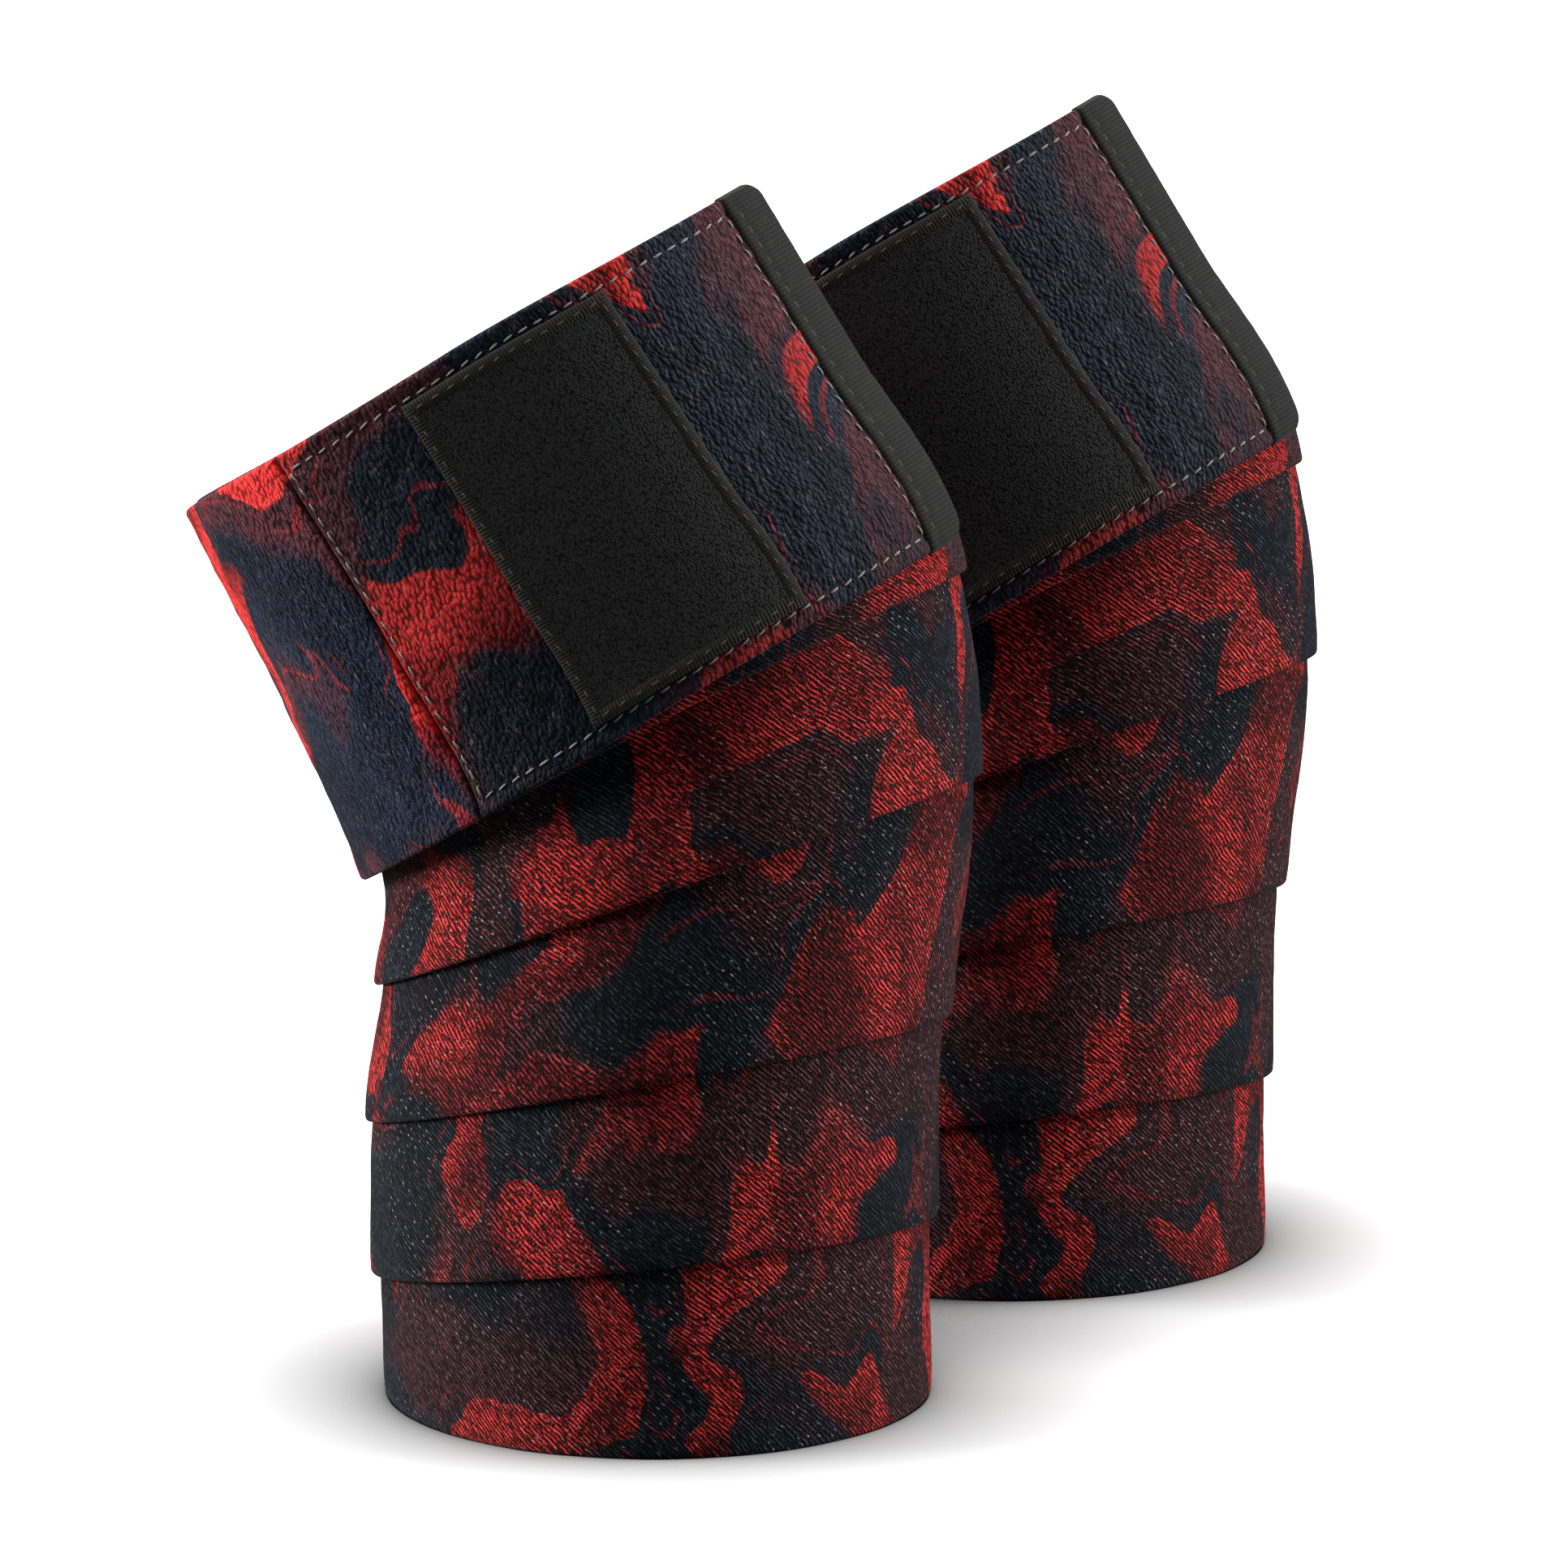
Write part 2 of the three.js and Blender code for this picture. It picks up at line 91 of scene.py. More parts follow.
class LegForm:
    """The smooth surface of the bent leg, at an angle round it and a height u up its rings."""

    STEP = 0.01
    CLIMB = 4.6
    CLIMB_STEPS = 140

    def __init__(self, rings: tuple[Ring, ...]) -> None:
        """Keeps the rings as one table, with one more ring past each end.

        Args:
            rings: the rings from the foot of the form to its top.
        """
        table = np.array([ring.row() for ring in rings])
        below = 2 * table[0] - table[1]
        above = 2 * table[-1] - table[-2]
        self.table = np.vstack([below, table, above])

    def values(self, u: np.ndarray) -> np.ndarray:
        """Blends the rings' values at u by a Catmull-Rom curve.

        Args:
            u: heights, any shape.

        Returns:
            The nine values on the first axis, then the shape of u.
        """
        first = np.clip(np.floor(u), 0, len(self.table) - 4).astype(int)
        t = (u - first)[..., None]
        a, b, c, d = (self.table[first + k] for k in range(4))
        bend = (c - a) * t + (2 * a - 5 * b + 4 * c - d) * t**2 + (3 * b - a - 3 * c + d) * t**3
        return np.moveaxis(b + bend / 2, -1, 0)

    def point(self, angle: np.ndarray, u: np.ndarray) -> np.ndarray:
        """Points of the form.

        Args:
            angle: degrees round the leg, 0 at +X and 270 in front.
            u: heights, the same shape.

        Returns:
            Points in millimetres, with x, y and z on the last axis.
        """
        lx, lz, rx, rz, depth, tilt, lean, square, twist = self.values(u)
        turned = np.radians(angle + twist)
        c, s = np.cos(turned), np.sin(turned)
        reach = (np.abs(c) ** square + np.abs(s) ** square) ** (-1 / square)
        across = reach * s * depth
        x = (lx + rx) / 2 + reach * c * (rx - lx) / 2
        y = lean + across * np.cos(np.radians(tilt))
        z = (lz + rz) / 2 + reach * c * (rz - lz) / 2 - across * np.sin(np.radians(tilt))
        return np.stack([x, y, z], axis=-1)

    def off(self, angle: np.ndarray, u: np.ndarray, distance: np.ndarray) -> np.ndarray:
        """Points at a distance outside the form, along its normal.

        Args:
            angle: degrees round the leg.
            u: heights.
            distance: millimetres outside the form.

        Returns:
            Points in millimetres.
        """
        angle, u, distance = np.broadcast_arrays(angle, u, distance)
        around = self.point(angle + self.STEP, u) - self.point(angle - self.STEP, u)
        up = self.point(angle, u + self.STEP) - self.point(angle, u - self.STEP)
        normal = np.cross(around, up)
        normal /= np.linalg.norm(normal, axis=-1, keepdims=True)
        return self.point(angle, u) + normal * distance[..., None]

    def climb(self, angle: np.ndarray, low: np.ndarray, level: np.ndarray,
              heights: np.ndarray) -> np.ndarray:
        """Heights u at given lengths up the surface from a lower edge.

        Args:
            angle: degrees round the leg, one for each section.
            low: u of the lower edge at each section.
            level: distance outside the form at each section.
            heights: lengths up from the lower edge.

        Returns:
            u for each section and each length.
        """
        rise = np.linspace(0, self.CLIMB, self.CLIMB_STEPS)
        u = low[:, None] + rise[None, :]
        points = self.off(angle[:, None], u, level[:, None])
        strides = np.linalg.norm(np.diff(points, axis=1), axis=-1)
        travel = np.concatenate([np.zeros((len(angle), 1)), np.cumsum(strides, axis=1)], axis=1)
        return np.array([np.interp(heights, t, row) for t, row in zip(travel, u)])


# --- How the strip is wound -----------------------------------------------------------------
@dataclass(frozen=True)
class Winding:
    """The strip's width, the spiral that it follows, and where its end becomes the tab."""

    width: float = 80
    thickness: float = 1.2
    pitch: float = 2
    start: float = -30
    tab_turn: float = 1800
    root_angle: float = 235.2
    ramp: float = 70
    facing_middle: float = 3.7
    edge_keys: tuple[tuple[float, float], ...] = (
        (-30, 0), (360, 0), (540, 1), (720, 1), (900, 2), (1080, 2), (1260, 3), (1440, 3),
        (1620, 4.06), (1800, 3.82), (1980, 4), (2200, 4),
    )

    @property
    def root(self) -> float:
        """Turning, in degrees, at which the strip ends and the tab begins."""
        return self.tab_turn + self.root_angle

    @staticmethod
    def ease(t: np.ndarray) -> np.ndarray:
        """A smooth step from 0 to 1."""
        return (1 - np.cos(np.pi * np.clip(t, 0, 1))) / 2

    def edge(self, turning: np.ndarray) -> np.ndarray:
        """u of the strip's lower edge at a turning angle."""
        keys = np.array(self.edge_keys)
        i = np.clip(np.searchsorted(keys[:, 0], turning), 1, len(keys) - 1)
        (a0, u0), (a1, u1) = keys[i - 1].T, keys[i].T
        return u0 + (u1 - u0) * self.ease((turning - a0) / (a1 - a0))

    def layer(self, turning: np.ndarray) -> np.ndarray:
        """Distance of the strip's middle outside the form, as the roll grows."""
        return self.pitch * turning / 360

    def level(self, turning: np.ndarray) -> np.ndarray:
        """The same distance with the rise to the tab's facing at the strip's end."""
        rise = self.facing_middle - self.pitch
        share = self.ease((turning - self.root + self.ramp) / self.ramp)
        return self.layer(turning) + rise * share


FORM = LegForm(RINGS)
WINDING = Winding()


class TabChart:
    """Places points of the tab: a along it from its root, s up from its edge, d outwards."""

    SPAN = 140
    STEPS = 280
    MIDDLE_U = 5
    MARGIN = 4
    ROWS = 89

    def __init__(self, form: LegForm, winding: Winding) -> None:
        """Measures the surface that the tab lies on.

        Args:
            form: the leg's surface.
            winding: the strip's spiral.
        """
        self.form = form
        self.angles = winding.root_angle + np.linspace(0, self.SPAN, self.STEPS + 1)
        self.base = winding.layer(winding.tab_turn - 360 + self.angles)
        level = self.base + winding.facing_middle
        middle = form.off(self.angles, np.full_like(self.angles, self.MIDDLE_U), level)
        strides = np.linalg.norm(np.diff(middle, axis=0), axis=-1)
        self.travel = np.concatenate([[0], np.cumsum(strides)])
        self.heights = np.linspace(-self.MARGIN, winding.width + self.MARGIN, self.ROWS)
        low = winding.edge(winding.tab_turn + self.angles)
        self.u = form.climb(self.angles, low, level, np.maximum(self.heights, 0))
        first, second = self.MARGIN, self.MARGIN + 1
        rise = self.heights[second] - self.heights[first]
        slope = (self.u[:, second] - self.u[:, first]) / rise
        self.u += np.minimum(self.heights, 0)[None, :] * slope[:, None]

    def place(self, a: np.ndarray, s: np.ndarray, d: np.ndarray) -> np.ndarray:
        """Points in millimetres.

        Args:
            a: lengths along the tab.
            s: lengths up from its lower edge.
            d: distances out from the middle of the turn beneath.

        Returns:
            Points with x, y and z on the last axis.
        """
        a, s, d = np.broadcast_arrays(*(np.asarray(v, float) for v in (a, s, d)))
        steps = np.arange(self.STEPS + 1)
        start_slope = (a - self.travel[0]) * self.STEPS / self.travel[-1]
        i = np.where(a < 0, start_slope, np.interp(a, self.travel, steps))
        j = (s - self.heights[0]) / (self.heights[1] - self.heights[0])
        i0 = np.clip(np.floor(i), 0, self.STEPS - 1).astype(int)
        j0 = np.clip(np.floor(j), 0, len(self.heights) - 2).astype(int)
        ti, tj = i - i0, j - j0
        low = self.u[i0, j0] * (1 - ti) + self.u[i0 + 1, j0] * ti
        high = self.u[i0, j0 + 1] * (1 - ti) + self.u[i0 + 1, j0 + 1] * ti
        angle = self.angles[i0] + (self.angles[1] - self.angles[0]) * ti
        base = self.base[i0] + (self.base[1] - self.base[0]) * ti
        return self.form.off(angle, low * (1 - tj) + high * tj, base + d)


CHART = TabChart(FORM, WINDING)


def ripple(x: np.ndarray, y: np.ndarray, wave: float, seed: float = 0) -> np.ndarray:
    """A smooth, repeatable unevenness between about -1 and 1.

    Args:
        x: first coordinate in millimetres.
        y: second coordinate in millimetres.
        wave: usual distance between two crests.
        seed: shifts the pattern.

    Returns:
        The unevenness, the same shape as x and y.
    """
    k = 2 * math.pi / wave
    first = np.sin(k * (x + 0.31 * y) + seed + 1.7 * np.sin(k * 0.43 * y + seed))
    second = np.sin(k * (0.47 * x - 0.83 * y) + 2.3 * seed + 1.3 * np.sin(k * 0.37 * x))
    third = np.sin(k * (0.71 * y + 0.19 * x) * 1.7 + 3.1 * seed)
    return (first + second + 0.6 * third) / 2.6


# --- Meshes -----------------------------------------------------------------------------------
def deselect() -> None:
    """Leaves nothing selected, so that an operator acts on its own piece only."""
    if bpy.context.object and bpy.context.object.mode != "OBJECT":
        bpy.ops.object.mode_set(mode="OBJECT")
    bpy.ops.object.select_all(action="DESELECT")


def mesh_object(name: str, points: np.ndarray, faces: np.ndarray, uv: np.ndarray,
                inside: np.ndarray | None = None, weld: bool = True) -> bpy.types.Object:
    """A smooth-shaded object in metres at the origin.

    Args:
        name: the piece's name.
        points: vertices in millimetres.
        faces: rows of four vertex numbers. A row that repeats one makes a triangle.
        uv: a coordinate in metres for each vertex.
        inside: True for each face that takes the second material.
        weld: whether vertices at one place are merged.

    Returns:
        The new object.
    """
    mesh = bpy.data.meshes.new(name)
    outlines = [tuple(dict.fromkeys(face)) for face in faces.tolist()]
    mesh.from_pydata((points * MM).tolist(), [], outlines)
    layer = mesh.uv_layers.new(name="cloth")
    corners = np.empty(len(mesh.loops), dtype=np.int32)
    mesh.loops.foreach_get("vertex_index", corners)
    layer.data.foreach_set("uv", uv[corners].astype(np.float32).ravel())
    if inside is not None:
        mesh.polygons.foreach_set("material_index", inside.astype(np.int32))
    obj = bpy.data.objects.new(name, mesh)
    bpy.context.scene.collection.objects.link(obj)
    deselect()
    bpy.context.view_layer.objects.active = obj
    obj.select_set(True)
    bpy.ops.object.mode_set(mode="EDIT")
    bpy.ops.mesh.select_all(action="SELECT")
    if weld:
        bpy.ops.mesh.remove_doubles(threshold=1e-6)
    bpy.ops.mesh.normals_make_consistent(inside=False)
    bpy.ops.object.mode_set(mode="OBJECT")
    bpy.ops.object.shade_smooth()
    deselect()
    return obj


def with_soft_ends(low: float, high: float, radius: float, step: float) -> np.ndarray:
    """Even stations from low to high, crowded at both ends where an edge is rounded.

    Args:
        low: first station.
        high: last station.
        radius: how far the rounding of an edge reaches.
        step: usual distance between stations.

    Returns:
        The stations in order.
    """
    near = radius * (1 - np.cos(np.linspace(0, math.pi / 2, 5)))
    middle = np.linspace(low + radius, high - radius, max(2, round((high - low) / step)))
    return np.concatenate([low + near[:-1], middle, (high - near[:-1])[::-1]])


def edge_round(distance: np.ndarray, radius: float) -> np.ndarray:
    """Share of the full thickness at a distance from a rounded edge."""
    return np.sqrt(np.clip(1 - (1 - np.clip(distance / radius, 0, 1)) ** 2, 0, 1))


class SheetBuilder:
    """A closed thin solid over a grid of stations, with all four edges rounded."""

    def __init__(self, x: np.ndarray, y: np.ndarray, radius: float) -> None:
        """Makes the grid.

        Args:
            x: stations along the sheet.
            y: stations across it.
            radius: how far the rounding of the edges reaches.
        """
        self.x, self.y = np.meshgrid(x, y, indexing="ij")
        ends = np.minimum(self.x - x[0], x[-1] - self.x)
        sides = np.minimum(self.y - y[0], y[-1] - self.y)
        self.full = edge_round(ends, radius) * edge_round(sides, radius)

    def build(self, name: str, outer: np.ndarray, inner: np.ndarray,
              uv: np.ndarray) -> bpy.types.Object:
        """Joins an outer and an inner face, which meet along the edges.

        Args:
            name: the piece's name.
            outer: points of the outer face, on the grid.
            inner: points of the inner face, on the grid.
            uv: coordinates in metres, on the grid.

        Returns:
            The closed sheet, whose inner faces take the second material.
        """
        n, m = self.x.shape
        index = np.arange(n * m).reshape(n, m)
        front = np.stack([index[:-1, :-1], index[1:, :-1], index[1:, 1:], index[:-1, 1:]], -1)
        front = front.reshape(-1, 4)
        back = front[:, ::-1] + n * m
        points = np.concatenate([outer.reshape(-1, 3), inner.reshape(-1, 3)])
        uvs = np.concatenate([uv.reshape(-1, 2)] * 2)
        inside = np.arange(2 * len(front)) >= len(front)
        return mesh_object(name, points, np.concatenate([front, back]), uvs, inside)


# --- Shader nodes -----------------------------------------------------------------------------
Socket = bpy.types.NodeSocket


class Nodes:
    """Adds and links the nodes of one tree."""

    def __init__(self, tree: bpy.types.NodeTree) -> None:
        """Keeps the tree."""
        self.tree = tree

    def add(self, kind: str, inputs: dict | None = None, **settings: object) -> bpy.types.Node:
        """Adds a node.

        Args:
            kind: the node's type.
            inputs: a value or a socket for each input, by name or number.
            **settings: the node's own settings.

        Returns:
            The node.
        """
        node = self.tree.nodes.new(kind)
        for key, value in settings.items():
            setattr(node, key, value)
        for key, value in (inputs or {}).items():
            if isinstance(value, Socket):
                self.tree.links.new(value, node.inputs[key])
            else:
                node.inputs[key].default_value = value
        return node

    def math(self, operation: str, a: Socket | float, b: Socket | float = 0,
             clamp: bool = False) -> Socket:
        """One arithmetic step."""
        node = self.add("ShaderNodeMath", {0: a, 1: b}, operation=operation, use_clamp=clamp)
        return node.outputs[0]

    def vector(self, operation: str, a: Socket | tuple, b: Socket | tuple) -> Socket:
        """One vector step."""
        node = self.add("ShaderNodeVectorMath", {0: a, 1: b}, operation=operation)
        return node.outputs[0]

    def turned(self, vector: Socket, scale: tuple, turn: float = 0,
               shift: tuple = (0, 0, 0)) -> Socket:
        """A pattern's coordinates, scaled, turned (degrees) and shifted."""
        inputs = {"Vector": vector, "Scale": scale, "Location": shift}
        inputs["Rotation"] = (0, 0, math.radians(turn))
        return self.add("ShaderNodeMapping", inputs).outputs[0]

    def noise(self, vector: Socket, scale: float, detail: float = 0,
              distortion: float = 0) -> bpy.types.Node:
        """A noise texture."""
        inputs = {"Vector": vector, "Scale": scale, "Detail": detail, "Distortion": distortion}
        return self.add("ShaderNodeTexNoise", inputs)

    def fade(self, value: Socket, low: float, high: float, start: float = 0,
             end: float = 1) -> Socket:
        """Rises smoothly from start at low to end at high."""
        inputs = {"Value": value, 1: low, 2: high, 3: start, 4: end}
        return self.add("ShaderNodeMapRange", inputs, interpolation_type="SMOOTHSTEP").outputs[0]

    def mix(self, share: Socket | float, a: Socket | tuple, b: Socket | tuple,
            kind: str = "MIX") -> Socket:
        """Mixes two colours."""
        node = self.add("ShaderNodeMix", {0: share, 6: a, 7: b}, data_type="RGBA",
                        blend_type=kind)
        return node.outputs[2]


def node_group(name: str, inputs: dict[str, tuple[str, float | None]],
               outputs: dict[str, str]) -> tuple[Nodes, bpy.types.Node, bpy.types.Node]:
    """A new shader node group.

    Args:
        name: the group's name.
        inputs: each input's socket type and default value.
        outputs: each output's socket type.

    Returns:
        The group's nodes, its input node and its output node.
    """
    tree = bpy.data.node_groups.new(name, "ShaderNodeTree")
    for label, (kind, default) in inputs.items():
        socket = tree.interface.new_socket(label, in_out="INPUT", socket_type=kind)
        if default is not None:
            socket.default_value = default
    for label, kind in outputs.items():
        tree.interface.new_socket(label, in_out="OUTPUT", socket_type=kind)
    nodes = Nodes(tree)
    return nodes, nodes.add("NodeGroupInput"), nodes.add("NodeGroupOutput")


VECTOR, VALUE, COLOUR = "NodeSocketVector", "NodeSocketFloat", "NodeSocketColor"
ROW_SLANT = 44


def rgb(red: float, green: float, blue: float) -> tuple[float, float, float, float]:
    """A colour from 8-bit display values, made linear."""
    def linear(v: float) -> float:
        """One channel, made linear."""
        v /= 255
        return v / 12.92 if v <= 0.04045 else ((v + 0.055) / 1.055) ** 2.4
    return linear(red), linear(green), linear(blue), 1.0


class Effects:
    """The node groups that several finishes share."""

    def __init__(self) -> None:
        """Builds each group once."""
        self.marble = self._marble()
        self.knit = self._knit()
        self.flecks = self._flecks()
        self.pebble = self._pebble()
        self.ribs = self._ribs()

    @staticmethod
    def _marble() -> bpy.types.NodeTree:
        """The liquid camouflage print: red and maroon islands on navy, with thin streaks.

        Returns:
            The group. Its Redness makes the red islands larger.
        """
        length, height, lean, start = 0.023, 0.035, -16, (55.9, 17.7, 17.9)
        n, given, out = node_group("Liquid print", {"Cloth": (VECTOR, None),
                                                    "Redness": (VALUE, 0.0)},
                                   {"Color": COLOUR})
        at = n.turned(given.outputs["Cloth"], (1 / length, 1 / height, 1), lean, start)
        big = n.noise(at, 0.8, 1).outputs["Color"]
        swirl = n.vector("MULTIPLY", n.vector("SUBTRACT", big, (0.5, 0.5, 0.5)), (1.7, 1.7, 0))
        flowing = n.vector("ADD", at, swirl)
        small = n.noise(flowing, 1.9, 1).outputs["Color"]
        wave = n.vector("MULTIPLY", n.vector("SUBTRACT", small, (0.5, 0.5, 0.5)), (0.62, 0.5, 0))
        lapping = n.vector("ADD", flowing, wave)
        island = n.noise(lapping, 1.05, 0).outputs["Fac"]
        island = n.math("ADD", island, given.outputs["Redness"])
        sharp = n.fade(island, 0.552, 0.568)
        airbrushed = n.fade(island, 0.515, 0.625)
        dusk = n.noise(n.vector("ADD", lapping, (7.3, 1.9, 4.2)), 0.9, 0.5).outputs["Fac"]
        maroon = n.fade(dusk, 0.50, 0.61)
        tone = n.noise(n.vector("ADD", flowing, (1.2, 5.4, 2.7)), 1.3, 1).outputs["Fac"]
        edge_kind = n.fade(tone, 0.44, 0.52)
        red = n.add("ShaderNodeMix", {0: edge_kind, 2: airbrushed, 3: sharp}).outputs[0]
        streak = n.math("ABSOLUTE", n.math("SUBTRACT", island, 0.462))
        thin = n.math("SUBTRACT", 1, n.fade(streak, 0.005, 0.018))
        streaks = n.math("MULTIPLY", thin, n.fade(tone, 0.46, 0.54))
        sea = n.mix(n.fade(tone, 0.4, 0.6), rgb(10, 20, 38), rgb(24, 34, 52))
        dark = n.mix(n.math("MULTIPLY", maroon, 0.9), sea, rgb(86, 38, 45))
        lined = n.mix(n.math("MULTIPLY", streaks, 0.85), dark, rgb(140, 36, 40))
        hot = n.mix(n.fade(tone, 0.36, 0.62), rgb(124, 8, 12), rgb(230, 52, 50))
        rim = n.math("SUBTRACT", 1, n.fade(island, 0.562, 0.60))
        lit = n.mix(n.math("MULTIPLY", rim, n.fade(dusk, 0.5, 0.56)), hot, rgb(232, 62, 58))
        n.tree.links.new(n.mix(red, lined, lit), out.inputs["Color"])
        return n.tree

    @staticmethod
    def _knit() -> bpy.types.NodeTree:
        """Fine diagonal ridges of a knitted elastic, broken into short strokes.

        Returns:
            The group, with the relief and a mask of the crests where a highlight is painted.
        """
        n, given, out = node_group("Knit", {"Cloth": (VECTOR, None)},
                                   {"Height": VALUE, "Crests": VALUE})
        cloth = given.outputs["Cloth"]
        per_mm = 1000
        at = n.turned(cloth, (per_mm, per_mm, per_mm), ROW_SLANT)
        wander = n.noise(n.turned(cloth, (32, 32, 1)), 1, 1).outputs["Color"]
        bent = n.vector("ADD", at, n.vector("MULTIPLY", wander, (6, 6, 0)))
        wave = n.add("ShaderNodeTexWave", {"Vector": bent, "Scale": 0.41, "Distortion": 2.2,
                                           "Detail": 1.0, "Detail Scale": 0.9},
                     wave_type="BANDS", bands_direction="Y").outputs["Fac"]
        broken = n.noise(n.turned(bent, (0.45, 2.2, 1)), 1, 1).outputs["Fac"]
        grit = n.fade(n.noise(bent, 2.3, 2).outputs["Fac"], 0.3, 0.7)
        ridge = n.math("MULTIPLY", wave, n.fade(broken, 0.34, 0.60))
        height = n.math("ADD", n.math("MULTIPLY", ridge, 0.6), n.math("MULTIPLY", grit, 0.45))
        crest_highlights = n.math("MULTIPLY", n.fade(wave, 0.72, 0.96), n.fade(broken, 0.50, 0.64))
        n.tree.links.new(height, out.inputs["Height"])
        n.tree.links.new(crest_highlights, out.inputs["Crests"])
        return n.tree

    @staticmethod
    def _flecks() -> bpy.types.NodeTree:
        """Short pale thread floats in slanting rows.

        Returns:
            The group, with a mask of the floats.
        """
        pitch = 0.0021
        n, given, out = node_group("Thread flecks", {"Cloth": (VECTOR, None)}, {"Mask": VALUE})
        cloth = given.outputs["Cloth"]
        at = n.turned(cloth, (1 / pitch, 1 / pitch, 1), ROW_SLANT)
        bent = n.vector("ADD", at, n.vector("MULTIPLY", n.noise(at, 0.35).outputs["Color"],
                                            (1.0, 1.0, 0)))
        rows = n.turned(bent, (1, 1.15, 1))
        cell = n.add("ShaderNodeTexVoronoi", {"Vector": rows, "Scale": 1, "Randomness": 0.55},
                     voronoi_dimensions="2D", feature="F1")
        offset = n.vector("SUBTRACT", rows, cell.outputs["Position"])
        squeezed = n.vector("MULTIPLY", offset, (0.5, 1.7, 0))
        length = n.add("ShaderNodeVectorMath", {0: squeezed}, operation="LENGTH").outputs["Value"]
        dash = n.math("SUBTRACT", 1, n.fade(length, 0.04, 0.13))
        chance = n.add("ShaderNodeSeparateColor", {0: cell.outputs["Color"]}).outputs[0]
        patchy = n.noise(n.turned(cloth, (45, 45, 1)), 1, 1).outputs["Fac"]
        shown = n.math("MULTIPLY", n.fade(chance, 0.15, 0.9), n.fade(patchy, 0.38, 0.60))
        n.tree.links.new(n.math("MULTIPLY", dash, shown), out.inputs["Mask"])
        return n.tree

    @staticmethod
    def _pebble() -> bpy.types.NodeTree:
        """Pebbled leather-like grain with creases, and a mask of strokes where a glint is painted.

        Returns:
            The group. A larger Size makes the grain finer.
        """
        n, given, out = node_group("Pebbled grain", {"Cloth": (VECTOR, None),
                                                     "Size": (VALUE, 1.0)},
                                   {"Height": VALUE, "Glints": VALUE})
        cloth = n.vector("SCALE", given.outputs["Cloth"], (0, 0, 0))
        n.tree.links.new(given.outputs["Size"], cloth.node.inputs["Scale"])
        wander = n.noise(n.turned(cloth, (220, 220, 1)), 1, 2).outputs["Color"]
        at = n.vector("ADD", n.turned(cloth, (780, 430, 1), 35),
                      n.vector("MULTIPLY", wander, (1.6, 1.6, 0)))
        cell = n.add("ShaderNodeTexVoronoi", {"Vector": at, "Scale": 1, "Randomness": 1,
                                              "Smoothness": 0.5},
                     voronoi_dimensions="2D", feature="SMOOTH_F1").outputs["Distance"]
        crease = n.noise(n.turned(cloth, (260, 130, 1), 30), 1, 3, 0.6).outputs["Fac"]
        fine = n.noise(n.turned(cloth, (1900, 1900, 1)), 1, 2).outputs["Fac"]
        pebbles = n.math("SUBTRACT", 1, n.fade(cell, 0.1, 0.75))
        body = n.math("ADD", n.math("MULTIPLY", pebbles, 0.5), n.math("MULTIPLY", crease, 0.7))
        height = n.math("ADD", body, n.math("MULTIPLY", fine, 0.25))
        stroke = n.noise(n.turned(cloth, (1500, 330, 1), 28), 1, 1, 0.8).outputs["Fac"]
        glints = n.math("MULTIPLY", n.fade(stroke, 0.60, 0.70), n.fade(crease, 0.45, 0.6))
        n.tree.links.new(height, out.inputs["Height"])
        n.tree.links.new(glints, out.inputs["Glints"])
        return n.tree

    @staticmethod
    def _ribs() -> bpy.types.NodeTree:
        """Ribs of woven tape across its length, which is the first cloth coordinate.

        Returns:
            The group, with the relief at a pitch in metres.
        """
        n, given, out = node_group("Tape ribs", {"Cloth": (VECTOR, None), "Pitch": (VALUE, 0.001)},
                                   {"Height": VALUE})
        inverse = n.math("DIVIDE", 1, given.outputs["Pitch"])
        cloth = n.vector("SCALE", given.outputs["Cloth"], (0, 0, 0))
        n.tree.links.new(inverse, cloth.node.inputs["Scale"])
        wave = n.add("ShaderNodeTexWave", {"Vector": cloth, "Scale": 0.314, "Distortion": 1.2,
                                           "Detail": 2.0, "Detail Scale": 2.0},
                     wave_type="BANDS", bands_direction="X").outputs["Fac"]
        grit = n.noise(cloth, 1.7, 3).outputs["Fac"]
        height = n.math("ADD", n.math("MULTIPLY", wave, 0.7), n.math("MULTIPLY", grit, 0.6))
        n.tree.links.new(height, out.inputs["Height"])
        return n.tree


